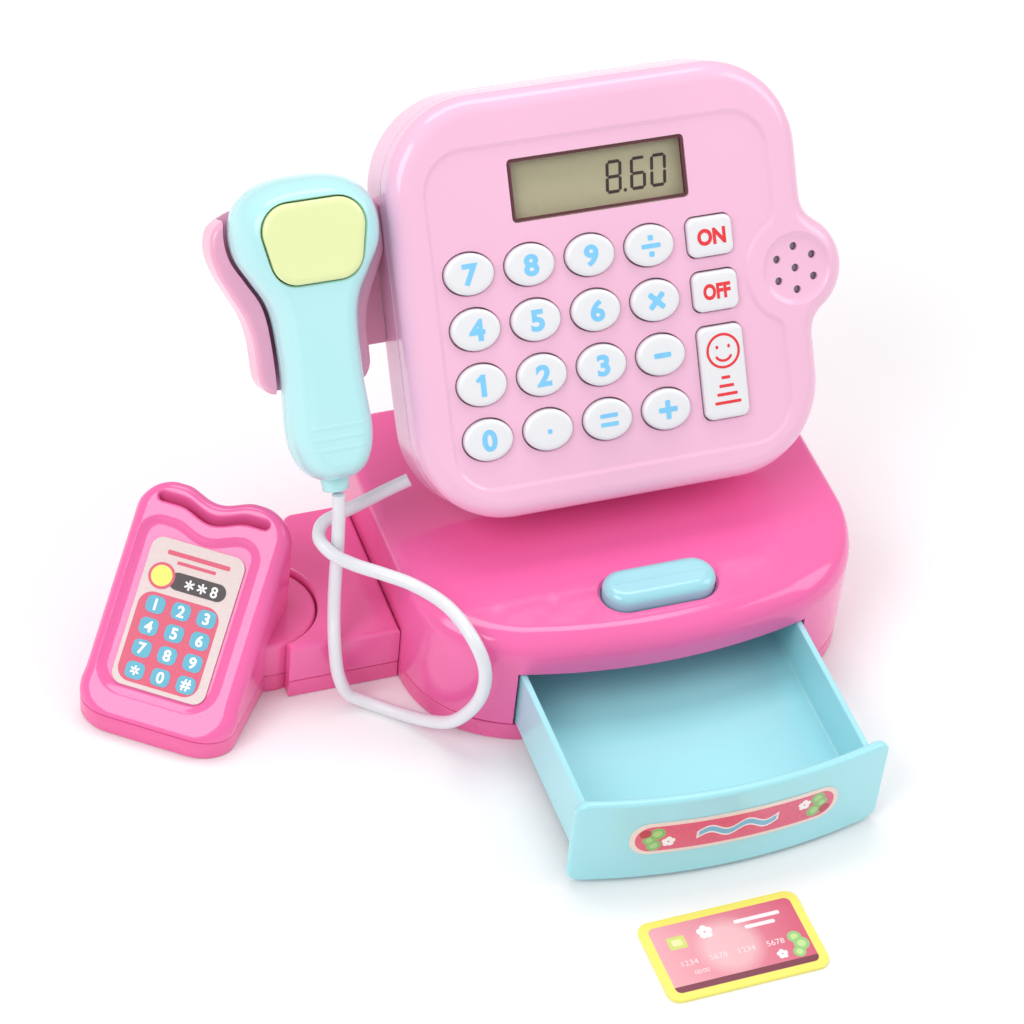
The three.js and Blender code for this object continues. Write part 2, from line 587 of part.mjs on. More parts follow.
const scannerSolid = scannerBody();
const triggerHole = prism(inset(TRIGGER_OUTLINE, -0.35), 0, 20);
const lensHole = prism(rectangle(24, 14, 3, 0, 33, 2), -30, -12);
piece(scanner, 'scanner_front', scannerSolid.intersect(box(-50, 50, -80, 80, SCANNER.middle + GAP / 2, 30))
  .subtract(triggerHole), plastic(MINT));
piece(scanner, 'scanner_back', scannerSolid.intersect(box(-50, 50, -80, 80, -60, SCANNER.middle - GAP / 2))
  .subtract(lensHole), plastic(MINT));
piece(scanner, 'scanner_trigger', stack([
  { points: inset(TRIGGER_OUTLINE, -0.8), z: 1.5 }, { points: inset(TRIGGER_OUTLINE, -0.8), z: 4.2 },
  { points: TRIGGER_OUTLINE, z: 4.2 }, { points: TRIGGER_OUTLINE, z: 7 },
  { points: inset(TRIGGER_OUTLINE, 1.2), z: 8.2 },
]), plastic(LIME));
piece(scanner, 'scanner_lens', prism(rectangle(23.4, 13.4, 2.7, 0, 33, 2), SCANNER.back + 0.4, SCANNER.back + 2.2),
  new THREE.MeshStandardMaterial({ color: 0x8a1530, roughness: 0.1, metalness: 0 }));
piece(scanner, 'scanner_board', box(-7.5, 7.5, -34, 34, -9, -7.4), plastic(GREEN_BOARD, 0.5));

function cradle() {
  const pocket = prism(inset(SCANNER_OUTLINE, -CRADLE.clearance), CRADLE.floor, 10);
  const trough = softSlab(CRADLE_OUTLINE, CRADLE.back, CRADLE.front, { top: 1.8, bottom: 1.5, steps: 2 })
    .subtract(pocket);
  const headSide = -HEAD.half - GAP - SCANNER.x;
  const plate = box(17, headSide, -8, 37, CRADLE.back, -22.2);
  const past = box(headSide, headSide + 20, -60, 60, -60, 20);
  return trough.add(plate).subtract(pocket).subtract(past);
}
piece(scanner, 'cradle', cradle(), plastic(PALE_PINK, 0.3));

// ---------------------------------------------------------------- cord

// From the scanner's tail the cord hangs past the arm, lies on the ground, climbs over the
// corner of the base, turns once round its own hanging part and goes into the head.
const CORD_ROUTE = [
  [-94.8, -5.2, 73.4], [-95, -7.2, 68], [-95, -7.6, 62], [-95.2, -8.6, 53], [-95.8, -10, 43], [-97, -14, 32],
  [-98.6, -21.5, 23], [-98, -25.6, 13], [-94.5, -27, 5], [-88.5, -30, 2.3], [-81, -36.4, 2.4],
  [-74, -44.6, 5.5], [-68.6, -51.6, 11], [-64.2, -55.4, 19], [-61.6, -57.6, 29], [-61.4, -56.6, 39],
  [-64, -51.5, 47], [-68.4, -39.5, 50.5], [-76, -27.6, 50.6], [-84, -20.8, 51], [-91.6, -15.8, 52],
  [-97.6, -12.2, 54.5], [-100.6, -6.6, 56.6], [-98, -0.6, 57], [-91.4, 3.2, 56.2], [-84, 5.6, 56.6],
  [-77, 6.8, 58.4], [-71.5, 7, 60.5], [-67.2, 6.9, 62.3],
];
const cordPath = new THREE.CatmullRomCurve3(CORD_ROUTE.map((p) => new THREE.Vector3(...p)), false, 'centripetal');
piece(register, 'scanner_cord', solid(new THREE.ExtrudeGeometry(
  new THREE.Shape(ellipse(CORD_RADIUS, CORD_RADIUS, 0, 0, 8)),
  { steps: 66, extrudePath: cordPath, bevelEnabled: false })), plastic(0xececf0, 0.4));

// ---------------------------------------------------------------- arm

function armOutline() {
  const [px, py] = PIVOT;
  const points = [vec(-BASE.side - GAP, ARM.front), vec(-BASE.side - GAP, ARM.back),
    ...rounded([[-BASE.side - GAP, ARM.back, 0], [ARM.backEnd, ARM.back, 4], [px + 12.3, py + 13.6, 0]], 3).slice(1, -1)];
  const from = THREE.MathUtils.degToRad(ARM.horn); // behind it the arm slopes away, so the reader can turn
  const to = -Math.acos((ARM.tip - px) / ARM.cut);
  for (let i = 0; i <= 14; i++) {
    const t = from + ((to - from) * i) / 14;
    points.push(vec(px + ARM.cut * Math.cos(t), py + ARM.cut * Math.sin(t)));
  }
  points.push(vec(ARM.tip, ARM.front));
  return points;
}

const ARM_OUTLINE = armOutline();
const wholeArm = softSlab(ARM_OUTLINE, 0, ARM.height, { top: 1.5, steps: 2 })
  .subtract(softSlab(inset(ARM_OUTLINE, ARM.wall), 2.2, ARM.height - ARM.wall));
const above = (z) => box(-300, 300, -300, 300, z, 200);
const below = (z) => box(-300, 300, -300, 300, -50, z);
const tongue = box(PIVOT[0], PIVOT[0] + ARM.cut + 1, PIVOT[1] - 8, PIVOT[1] + 8, READER.tongueLow, READER.tongueHigh)
  .add(rod(...PIVOT, 11, READER.tongueLow, READER.tongueHigh, 24))
  .subtract(rod(...PIVOT, READER.post + 0.4, 0, 30, 16));
piece(register, 'arm_cover', wholeArm.intersect(above(BASE.seam + GAP)).add(tongue), plastic(HOT_PINK, 0.25));
piece(register, 'arm_plate', wholeArm.intersect(below(BASE.seam)), plastic(HOT_PINK, 0.35));

// ---------------------------------------------------------------- card reader

// Its own frame has x across, y back and z up, with the front of the seam at y = 0.
const yaw = THREE.MathUtils.degToRad(READER.yaw);
const toReader = (x, y) => vec(x - READER.anchor[0], y - READER.anchor[1]).rotateAround(vec(0, 0), -yaw);
const pivot = toReader(...PIVOT);
const tilt = THREE.MathUtils.degToRad(READER.tilt);
const onFace = (b, off = 0) => [
  b * Math.sin(tilt) - off * Math.cos(tilt), READER.seam + b * Math.cos(tilt) + off * Math.sin(tilt)];

// A wedge with soft sides: its side view runs along x.
function wedge(half, edge, shrink) {
  const profile = inset(rounded([
    [0.5, -12, 0], [READER.depth, -12, 0], [READER.depth, 48.5, 8.5], [...onFace(81), 5], [...onFace(-4), 5],
  ], 4), shrink);
  const shape = new THREE.ExtrudeGeometry(new THREE.Shape(profile), {
    depth: 2 * (half - edge), bevelEnabled: edge > 0, bevelThickness: edge, bevelSize: edge, bevelOffset: -edge,
    bevelSegments: 3,
  }).translate(0, 0, edge - half);
  shape.applyMatrix4(new THREE.Matrix4().makeBasis(
    new THREE.Vector3(0, 1, 0), new THREE.Vector3(0, 0, 1), new THREE.Vector3(1, 0, 0)));
  return solid(shape);
}

// Turns a solid drawn on the reader's face into the reader's frame.
const fromFace = (points, z0, z1) => {
  const geometry = new THREE.ExtrudeGeometry(new THREE.Shape(points), { depth: z1 - z0, bevelEnabled: false });
  geometry.translate(0, 0, z0).rotateX(Math.PI / 2 - tilt).translate(0, 0, READER.seam);
  return solid(geometry);
};

// The finger dip in the top edge, and the card slot that follows it.
const dip = (a) => (Math.abs(a) < 12 ? 1.6 * (1 + Math.cos((Math.PI * a) / 12)) : 0);
function slotOutline() {
  const lower = [];
  const upper = [];
  for (let i = 0; i <= 12; i++) {
    const a = -18.5 + (37 * i) / 12;
    lower.push(vec(a, 71.3 - dip(a)));
    upper.push(vec(a, 74.9 - dip(a)));
  }
  return [...lower, ...upper.reverse()];
}
function fingerDip() {
  const points = [];
  for (let i = 0; i <= 12; i++) points.push(vec(12 - 2 * i, 81.6 - dip(12 - 2 * i)));
  return [vec(-12, 95), vec(12, 95), ...points];
}

const lobeOuter = rod(pivot.x, pivot.y, READER.lobe, 0, READER.lobeTop, 32);
const lobeInner = rod(pivot.x, pivot.y, READER.lobe - READER.wall, 2.2, READER.lobeTop - READER.wall, 32);
const outerReader = wedge(READER.half, 4.5, 0).intersect(above(0)).add(lobeOuter);
const innerReader = wedge(READER.half - READER.wall, 2.2, READER.wall).intersect(above(2.2)).add(lobeInner);
const recess = fromFace(rectangle(39, 54, 6, 0, READER_LABEL.b), -1.6, 6);
const cardSlot = fromFace(slotOutline(), -14, 6);
const finger = fromFace(fingerDip(), -30, 12);

// The tongue sweeps through this window when the reader turns.
function tongueWindow() {
  const points = [vec(0, 0)];
  for (let i = 0; i <= 12; i++) {
    const t = THREE.MathUtils.degToRad(-40 + 96 * (i / 12)) - yaw;
    points.push(vec(24 * Math.cos(t), 24 * Math.sin(t)));
  }
  return prism(points.map((p) => p.add(vec(pivot.x, pivot.y))), READER.tongueLow - 0.4, READER.tongueHigh + 0.4)
    .add(rod(pivot.x, pivot.y, 11.5, READER.tongueLow - 0.4, READER.tongueHigh + 0.4, 24));
}

// The face is backed by a thicker pad, so that the recess keeps its wall.
const facePad = wedge(READER.half - 3, 1, 2).intersect(fromFace(rectangle(44, 60, 6, 0, READER_LABEL.b), -4, 0));
const readerShell = outerReader.subtract(innerReader).add(facePad).subtract(recess).subtract(cardSlot)
  .subtract(finger).subtract(tongueWindow());
piece(reader, 'reader_cover', readerShell.intersect(above(READER.seam + GAP)), plastic(HOT_PINK, 0.25));
piece(reader, 'reader_plate', outerReader.subtract(innerReader).intersect(below(READER.seam))
  .add(rod(pivot.x, pivot.y, READER.post, 1, 17.8, 16)), plastic(HOT_PINK, 0.35));
piece(readerFace, 'reader_label', prism(rectangle(READER_LABEL.width, READER_LABEL.height, 4, 0, READER_LABEL.b),
  -1.3, -0.9), plastic(0xefd9d3, 0.5));

// ---------------------------------------------------------------- payment card

const card = piece(register, 'payment_card',
  prism(rectangle(CARD.width, CARD.depth, 4, 0, 0, 4), 0, CARD.thick), plastic(0xf7d4e2, 0.35));
card.position.set(CARD.x, CARD.y, 0);
card.rotation.z = THREE.MathUtils.degToRad(CARD.turn);

export default register;
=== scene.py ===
# %% [markdown]
# # Toy cash register
# A calculator head leans over a pink base. A drawer slides out of the base's bowed front,
# a scanner hangs beside the head on a cord, and a card reader turns at the end of a short arm.
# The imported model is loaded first: it fixes every size and place, and nothing here moves it.

# %% Load the frame
import math
import bmesh
import bpy
from mathutils import Matrix, Vector


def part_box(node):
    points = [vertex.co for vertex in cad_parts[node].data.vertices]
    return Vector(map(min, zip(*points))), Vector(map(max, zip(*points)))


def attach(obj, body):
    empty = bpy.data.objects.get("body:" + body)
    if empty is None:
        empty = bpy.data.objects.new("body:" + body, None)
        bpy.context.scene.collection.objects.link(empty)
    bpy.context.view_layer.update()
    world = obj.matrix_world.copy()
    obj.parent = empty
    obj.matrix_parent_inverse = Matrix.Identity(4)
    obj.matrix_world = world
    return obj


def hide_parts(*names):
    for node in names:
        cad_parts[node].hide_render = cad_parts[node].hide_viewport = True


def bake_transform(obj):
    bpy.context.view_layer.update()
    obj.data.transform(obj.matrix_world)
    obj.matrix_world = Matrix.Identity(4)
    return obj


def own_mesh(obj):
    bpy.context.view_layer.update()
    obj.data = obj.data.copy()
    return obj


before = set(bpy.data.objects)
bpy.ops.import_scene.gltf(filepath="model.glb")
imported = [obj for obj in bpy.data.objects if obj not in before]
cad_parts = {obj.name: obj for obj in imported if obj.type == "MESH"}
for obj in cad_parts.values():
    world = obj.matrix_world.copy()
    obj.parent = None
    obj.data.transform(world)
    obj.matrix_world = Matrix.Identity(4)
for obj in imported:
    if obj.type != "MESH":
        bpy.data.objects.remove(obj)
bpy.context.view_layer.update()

MM = 0.001

# %% [markdown]
# ## Camera
# A long lens looks down at the toy from its front left. The camera is set by the point that
# it looks at, its distance, two angles and a small roll, so each can be changed on its own.

# %% Make the camera
def new_object(name, data):
    """An object in the scene that holds this mesh, curve, lamp or camera."""
    made = bpy.data.objects.new(name, data)
    bpy.context.scene.collection.objects.link(made)
    return made


AIM = Vector((-41.3, -17.9, 65.1)) * MM
AZIMUTH, ELEVATION, ROLL = (math.radians(a) for a in (-23.53, 43.74, 6.47))
DISTANCE = 1100 * MM

back = Vector((math.sin(AZIMUTH) * math.cos(ELEVATION),
               -math.cos(AZIMUTH) * math.cos(ELEVATION), math.sin(ELEVATION)))
level = Vector((math.cos(AZIMUTH), math.sin(AZIMUTH), 0))
right = level * math.cos(ROLL) + back.cross(level) * math.sin(ROLL)
turn = Matrix((right, back.cross(right), back)).transposed().to_4x4()

camera_data = bpy.data.cameras.new("camera")
camera_data.lens = 123.05
camera_data.sensor_width = 36
camera_data.clip_start, camera_data.clip_end = 0.05, 20
camera = new_object("camera", camera_data)
camera.matrix_world = Matrix.Translation(AIM + back * DISTANCE) @ turn
bpy.context.scene.camera = camera
print("camera at", [round(x, 3) for x in camera.location])

# %% [markdown]
# ## Finishes as sums
# Shader maths reads best as ordinary expressions. The class below wraps a socket, so that
# `a * 2 + b` adds the Math nodes it needs. Every finish in the file is written with it.

# %% Sockets that can be added up
class Value:
    """A node's output in a material, usable in arithmetic."""

    def __init__(self, tree, socket):
        self.tree, self.socket = tree, socket

    def math(self, operation, *others, flipped=False):
        node = self.tree.nodes.new("ShaderNodeMath")
        node.operation = operation
        terms = [self, *others]
        if flipped:
            terms.reverse()
        for slot, term in zip(node.inputs, terms):
            if isinstance(term, Value):
                self.tree.links.new(term.socket, slot)
            else:
                slot.default_value = term
        return Value(self.tree, node.outputs[0])

    def __add__(self, other): return self.math("ADD", other)
    def __radd__(self, other): return self.math("ADD", other)
    def __sub__(self, other): return self.math("SUBTRACT", other)
    def __rsub__(self, other): return self.math("SUBTRACT", other, flipped=True)
    def __mul__(self, other): return self.math("MULTIPLY", other)
    def __rmul__(self, other): return self.math("MULTIPLY", other)
    def __truediv__(self, other): return self.math("DIVIDE", other)
    def __abs__(self): return self.math("ABSOLUTE")

    def held(self):
        """Never below 0 or above 1."""
        return self.math("MINIMUM", 1.0).math("MAXIMUM", 0.0)


class Finish:
    """A material with one Principled shader."""

    def __init__(self, name, **settings):
        self.material = bpy.data.materials.new(name)
        self.material.use_nodes = True
        self.tree = self.material.node_tree
        self.shader = next(n for n in self.tree.nodes if n.type == "BSDF_PRINCIPLED")
        for key, value in settings.items():
            self.shader.inputs[key.replace("_", " ")].default_value = value

    def node(self, kind, settings=None, output=0, **inputs):
        """Adds a node, its settings first and then the values or links of its inputs."""
        made = self.tree.nodes.new(kind)
        for key, value in (settings or {}).items():
            setattr(made, key, value)
        for key, value in inputs.items():
            self.feed(made.inputs[int(key[1:]) if key[0] == "_" else key], value)
        return Value(self.tree, made.outputs[output])

    def feed(self, socket, value):
        if isinstance(value, Value):
            self.tree.links.new(value.socket, socket)
        else:
            socket.default_value = value

    def set(self, name, value):
        self.feed(self.shader.inputs[name], value)

    def place(self):
        """The object's own coordinates, in metres."""
        return self.node("ShaderNodeTexCoord", output=3)

    def noise(self, scale, detail=2.0):
        return self.node("ShaderNodeTexNoise", Vector=self.place(), Scale=scale, Detail=detail)

    def mix(self, factor, a, b):
        """Colour a where factor is 0 and colour b where it is 1."""
        return self.node("ShaderNodeMix", {"data_type": "RGBA"}, output=2, _0=factor, _6=a, _7=b)

    def bump(self, height, strength, distance=0.001):
        return self.node("ShaderNodeBump", Strength=strength, Distance=distance, Height=height)

    def speckled(self, noise, a, b, gloss, dulling):
        """One noise moves the colour from a to b and dulls the gloss with it."""
        self.set("Base Color", self.mix(noise, a, b))
        self.set("Roughness", gloss + noise * dulling)


def linear(red, green, blue):
    """A colour picked on a screen, 0 to 255, as the linear values that Blender wants."""
    def one(c):
        c /= 255
        return c / 12.92 if c <= 0.04045 else ((c + 0.055) / 1.055) ** 2.4
    return (one(red), one(green), one(blue), 1.0)

# %% [markdown]
# ## Moulded plastic
# Injection-moulded ABS is glossy, but never a mirror: the mould's polish leaves a faint orange
# peel, handling dulls it in soft patches, and the colour drifts a little where the melt was
# thicker. Three noises at different scales make these, each feeding its own socket.

# %% Make the moulded plastics
MELT_FLOW, HANDLING, ORANGE_PEEL = (18, 1), (55, 4), (700, 1)
HANDLING_DULLS, PEEL_HEIGHT = 0.14, 0.0006


def moulded(name, colour, gloss=0.2, drift=0.06, peel=0.05):
    finish = Finish(name, IOR=1.5, Specular_IOR_Level=0.5, Coat_Weight=0.3, Coat_Roughness=0.08)
    deeper = tuple(c * (1 - 2.2 * drift) for c in colour[:3]) + (1.0,)
    finish.set("Base Color", finish.mix(finish.noise(*MELT_FLOW), deeper, colour))
    finish.set("Roughness", gloss + (finish.noise(*HANDLING) - 0.5) * HANDLING_DULLS)
    finish.set("Normal", finish.bump(finish.noise(*ORANGE_PEEL), peel, PEEL_HEIGHT))
    return finish.material


HOT_PINK = moulded("hot_pink", linear(253, 110, 178), 0.12)
HOT_PINK_SATIN = moulded("hot_pink_satin", linear(250, 104, 170), 0.28)
PALE_PINK = moulded("pale_pink", linear(255, 199, 228), 0.18)
MINT = moulded("mint", linear(174, 238, 247), 0.17)
BUTTON_MINT = moulded("button_mint", linear(166, 227, 239), 0.15)
CRADLE_PINK = moulded("cradle_pink", linear(250, 178, 209), 0.16)
SCANNER_MINT = moulded("scanner_mint", linear(190, 240, 243), 0.18)
LIME = moulded("lime", linear(243, 252, 186), 0.18)
KEY_WHITE = moulded("key_white", linear(240, 240, 243), 0.3, drift=0.02)
VINYL = moulded("cord_vinyl", linear(236, 236, 242), 0.36, drift=0.03, peel=0.12)
print("plastics:", len([m for m in bpy.data.materials if m.use_nodes]))

# %% [markdown]
# ## The cord
# One length of soft white vinyl flex joins the scanner to the head. It hangs from the
# scanner's tail, lies on the table in front of the arm, climbs over the corner of the base,
# turns once round its own hanging part and goes into the head. A smooth curve through the
# route's points, with a round bevel, becomes a tube with a true length and thickness. The
# scanner lifts out of its cradle.

# %% Lay the cord
CORD_ROUTE = [
    (-94.8, -5.2, 73.4), (-95, -7.2, 68), (-95, -7.6, 62), (-95.2, -8.6, 53), (-95.8, -10, 43),
    (-97, -14, 32), (-98.6, -21.5, 23), (-98, -25.6, 13), (-94.5, -27, 5), (-88.5, -30, 2.5),
    (-81, -36.4, 2.6), (-74, -44.6, 5.5), (-68.6, -51.6, 11), (-64.2, -55.4, 19),
    (-61.6, -57.6, 29), (-61.4, -56.6, 39), (-64, -51.5, 47), (-68.4, -39.5, 50.5),
    (-76, -27.6, 50.6), (-84, -20.8, 51), (-91.6, -15.8, 52), (-97.6, -12.2, 54.5),
    (-100.6, -6.6, 56.6), (-98, -0.6, 57), (-91.4, 3.2, 56.2), (-84, 5.6, 56.6),
    (-77, 6.8, 58.4), (-71.5, 7, 60.5), (-67.2, 6.9, 62.3),
]
CORD_DIAMETER = 4.3 * MM


def smooth_span(p0, p1, p2, p3, steps=12):
    """Short straight steps along a centripetal Catmull-Rom curve, from p1 to just before p2."""
    t1 = (p1 - p0).length ** 0.5
    t2 = t1 + (p2 - p1).length ** 0.5
    t3 = t2 + (p3 - p2).length ** 0.5
    span = []
    for k in range(steps):
        t = t1 + (t2 - t1) * k / steps
        a1 = p0.lerp(p1, t / t1)
        a2 = p1.lerp(p2, (t - t1) / (t2 - t1))
        a3 = p2.lerp(p3, (t - t2) / (t3 - t2))
        b1 = a1.lerp(a2, t / t2)
        b2 = a2.lerp(a3, (t - t1) / (t3 - t1))
        span.append(b1.lerp(b2, (t - t1) / (t2 - t1)))
    return span


def smooth_path(points):
    """An open smooth curve through points in millimetres, as points in metres."""
    points = [Vector(p) * MM for p in points]
    points = [2 * points[0] - points[1], *points, 2 * points[-1] - points[-2]]
    path = []
    for four in zip(points, points[1:], points[2:], points[3:]):
        path += smooth_span(*four)
    return path + [points[-2]]


def length_of(path):
    return sum((b - a).length for a, b in zip(path, path[1:]))


cord_path = smooth_path(CORD_ROUTE)
cord_curve = bpy.data.curves.new("flex_line", "CURVE")
cord_curve.dimensions = "3D"
cord_curve.bevel_depth = CORD_DIAMETER / 2
cord_curve.bevel_resolution = 6
cord_curve.use_fill_caps = True
spline = cord_curve.splines.new("POLY")
spline.points.add(len(cord_path) - 1)
for point, place in zip(spline.points, cord_path):
    point.co = (*place, 1)
spline.use_smooth = True
line = new_object("flex_line", cord_curve)
tube = bpy.data.meshes.new_from_object(line.evaluated_get(bpy.context.evaluated_depsgraph_get()))
bpy.data.objects.remove(line)
cord = new_object("scanner_flex", tube)
tube.materials.clear()
tube.materials.append(VINYL)
cord_top = cord_path[0]
cord_top + Vector((0.010, 0.010, -0.028))
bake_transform(cord)
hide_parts("scanner_cord")
CORD_LENGTH = length_of(cord_path)
print(f"cord: {CORD_LENGTH * 1000:.0f} mm long")

# %% [markdown]
# ## Floor and light
# A plain pale floor and three large soft lamps, with a pale sky around, as in a product
# studio. Big lamps give gloss its long soft highlights and keep every shadow faint.

# %% Set the stage
REACH = 3.0
floor_mesh = bpy.data.meshes.new("floor")
floor_mesh.from_pydata([(x * REACH, y * REACH, 0) for x, y in ((-1, -1), (1, -1), (1, 1), (-1, 1))],
                       [], [(0, 1, 2, 3)])
floor = new_object("floor", floor_mesh)
paper = Finish("studio_paper", Base_Color=linear(250, 250, 250), Roughness=0.9)
paper.set("Base Color", paper.mix(paper.noise(3), linear(248, 248, 249), linear(252, 252, 252)))
floor_mesh.materials.append(paper.material)


def softbox(name, place, aim, size, watts):
    lamp = bpy.data.lights.new(name, "AREA")
    lamp.shape, lamp.size, lamp.size_y = "RECTANGLE", size[0], size[1]
    lamp.energy = watts
    box = new_object(name, lamp)
    box.location = place
    box.rotation_euler = (Vector(aim) - Vector(place)).to_track_quat("-Z", "Y").to_euler()


softbox("lamp_left", (-1.0, -0.5, 1.1), (0, 0, 0.05), (0.8, 0.8), 7.5)
softbox("lamp_right", (1.1, -0.3, 1.0), (0, 0, 0.05), (0.7, 0.9), 4.5)
softbox("lamp_top", (0.0, 0.5, 1.5), (0, 0, 0), (1.2, 0.6), 7.5)
sky = bpy.data.worlds.new("studio")
sky.use_nodes = True
sky.node_tree.nodes["Background"].inputs["Color"].default_value = (1, 1, 1, 1)
sky.node_tree.nodes["Background"].inputs["Strength"].default_value = 0.6
bpy.context.scene.world = sky
bpy.context.scene.view_settings.view_transform = "Standard"
print("lamps:", len(bpy.data.lights))

# %% [markdown]
# ## Drawing outlines and lofting shells
# Nearly every moulding here is a flat outline carried up through a stack of rings, drawn in
# as it rises, so that its rim is a true quarter circle. Three helpers do it: one rounds the
# corners of a polygon, one moves an outline inwards, and one closes a skin over the rings.

# %% Outline helpers
def rounded(corners, segments=10):
    """A polygon with round corners, counter-clockwise. Each corner is (x, y, radius)."""
    points = []
    for i, (x, y, r) in enumerate(corners):
        here = Vector((x, y))
        if not r:
            points.append(here)
            continue
        before = (Vector(corners[i - 1][:2]) - here).normalized()
        after = (Vector(corners[(i + 1) % len(corners)][:2]) - here).normalized()
        half = before.angle(after) / 2
        centre = here + (before + after).normalized() * (r / math.sin(half))
        start = here + before * (r / math.tan(half)) - centre
        end = here + after * (r / math.tan(half)) - centre
        sweep = math.atan2(start.x * end.y - start.y * end.x, start.dot(end))
        for k in range(segments + 1):
            t = sweep * k / segments
            points.append(centre + Vector((start.x * math.cos(t) - start.y * math.sin(t),
                                           start.x * math.sin(t) + start.y * math.cos(t))))
    return points


def rectangle(width, height, radius, x=0.0, y=0.0, segments=10):
    w, h = width / 2, height / 2
    return rounded([(x - w, y - h, radius), (x + w, y - h, radius),
                    (x + w, y + h, radius), (x - w, y + h, radius)], segments)


def ellipse(a, b, x=0.0, y=0.0, count=64):
    turns = [2 * math.pi * i / count for i in range(count)]
    return [Vector((x + a * math.cos(t), y + b * math.sin(t))) for t in turns]


def inset(points, distance):
    """Each point moves inwards, by one distance or by a list of them."""
    moved = []
    for i, p in enumerate(points):
        before = (p - points[i - 1]).normalized()
        after = (points[(i + 1) % len(points)] - p).normalized()
        normal = Vector((-before.y - after.y, before.x + after.x)).normalized()
        mitre = max(0.5, normal.dot(Vector((-after.y, after.x))))
        d = distance[i] if isinstance(distance, list) else distance
        moved.append(p + normal * (d / mitre))
    return moved


def even(points, count):
    """The same closed outline as evenly spaced points."""
    closed = points + [points[0]]
    total = sum((b - a).length for a, b in zip(closed, closed[1:]))
    spaced, travelled, k = [], 0.0, 0
    for a, b in zip(closed, closed[1:]):
        step = (b - a).length
        while k < count and k * total / count <= travelled + step + 1e-9:
            along = (k * total / count - travelled) / step if step > 1e-9 else 0
            spaced.append(a.lerp(b, min(max(along, 0), 1)))
            k += 1
        travelled += step
    return spaced


def blended(knots, count):
    """A smooth closed curve through 2-D knots, evenly spaced."""
    n = len(knots)
    knots = [Vector(k) for k in knots]
    dense = []
    for i in range(n):
        dense += smooth_span(*(knots[(i + k - 1) % n] for k in range(4)))
    return even(dense, count)


def symmetric(half, count):
    """A closed smooth curve from its right half, given from top to bottom."""
    return blended(list(reversed([*half, *[(-x, y) for x, y in half[-2:0:-1]]])), count)

# %% Lofting, cutting and polishing
def at(x=0.0, y=0.0, z=0.0):
    """A shift by millimetres."""
    return Matrix.Translation((x * MM, y * MM, z * MM))


def skin(name, loops, place=None):
    """A closed skin through equal loops of 3-D points in millimetres. Place turns the piece's
    own frame into the register's."""
    shape = bmesh.new()
    made = [[shape.verts.new([c * MM for c in p]) for p in loop] for loop in loops]
    for low, high in zip(made, made[1:]):
        for i in range(len(low)):
            j = (i + 1) % len(low)
            shape.faces.new((low[i], low[j], high[j], high[i]))
    shape.faces.new(list(reversed(made[0])))
    shape.faces.new(made[-1])
    bmesh.ops.recalc_face_normals(shape, faces=shape.faces)
    if place:
        shape.transform(place)
    mesh = bpy.data.meshes.new(name)
    shape.to_mesh(mesh)
    shape.free()
    return new_object(name, mesh)


def loft(name, rings, place=None):
    """A skin over rings of (outline, height), lowest first. A height is a number or a list."""
    loops = []
    for outline, height in rings:
        heights = height if isinstance(height, list) else [height] * len(outline)
        loops.append([(p.x, p.y, z) for p, z in zip(outline, heights)])
    return skin(name, loops, place)


def soft_rings(outline, low, high, top=0.0, bottom=0.0, steps=8):
    """Rings of a slab whose upper and lower edges are quarter circles."""
    rings = []
    if bottom:
        for k in range(steps, 0, -1):
            t = math.pi / 2 * k / steps
            rings.append((inset(outline, bottom * (1 - math.cos(t))),
                          low + bottom * (1 - math.sin(t))))
    rings.append((outline, low + bottom))
    rings.append((outline, high - top))
    if top:
        for k in range(1, steps + 1):
            t = math.pi / 2 * k / steps
            rings.append((inset(outline, top * (1 - math.cos(t))), high - top * (1 - math.sin(t))))
    return rings


def domed_rings(outline, start, rise, draw, steps=16):
    """Rings that rise and draw in along a quarter of an ellipse, from the outline itself."""
    rings = []
    for k in range(steps + 1):
        t = math.pi / 2 * k / steps
        rings.append((inset(outline, draw * (1 - math.cos(t))), start + rise * math.sin(t)))
    return rings


def apply_modifiers(thing):
    """The evaluated mesh takes the place of the mesh and its modifiers."""
    graph = bpy.context.evaluated_depsgraph_get()
    mesh = bpy.data.meshes.new_from_object(thing.evaluated_get(graph))
    thing.modifiers.clear()
    old, thing.data = thing.data, mesh
    mesh.name = thing.name
    bpy.data.meshes.remove(old)
    return thing


def boolean(thing, others, operation="DIFFERENCE"):
    for other in others if isinstance(others, (list, tuple)) else [others]:
        modifier = thing.modifiers.new("cut", "BOOLEAN")
        modifier.operation, modifier.solver, modifier.object = operation, "EXACT", other
        apply_modifiers(thing)
        bpy.data.objects.remove(other)
    return thing


def cut(thing, rings, place=None):
    """Takes away what a stack of rings encloses."""
    return boolean(thing, loft("cutter", rings, place))


def joined(*things):
    """Several meshes as one object. The first keeps its name."""
    shape = bmesh.new()
    for thing in things:
        shape.from_mesh(thing.data)
    mesh = bpy.data.meshes.new(things[0].name)
    shape.to_mesh(mesh)
    shape.free()
    name = things[0].name
    for thing in things:
        bpy.data.objects.remove(thing)
    return new_object(name, mesh)


def finished(thing, material, body, stands_for=None, crease=32):
    """Smooth shading with crisp creases, a finish, and the body that the piece moves with."""
    mesh = thing.data
    mesh.materials.clear()
    mesh.materials.append(material)
    mesh.shade_smooth()
    mesh.set_sharp_from_angle(angle=math.radians(crease))
    weighted = thing.modifiers.new("flat_faces_stay_flat", "WEIGHTED_NORMAL")
    weighted.keep_sharp = True
    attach(thing, body)
    if stands_for:
        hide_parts(stands_for)
    print(f"{thing.name}: {len(mesh.polygons)} faces")
    return thing


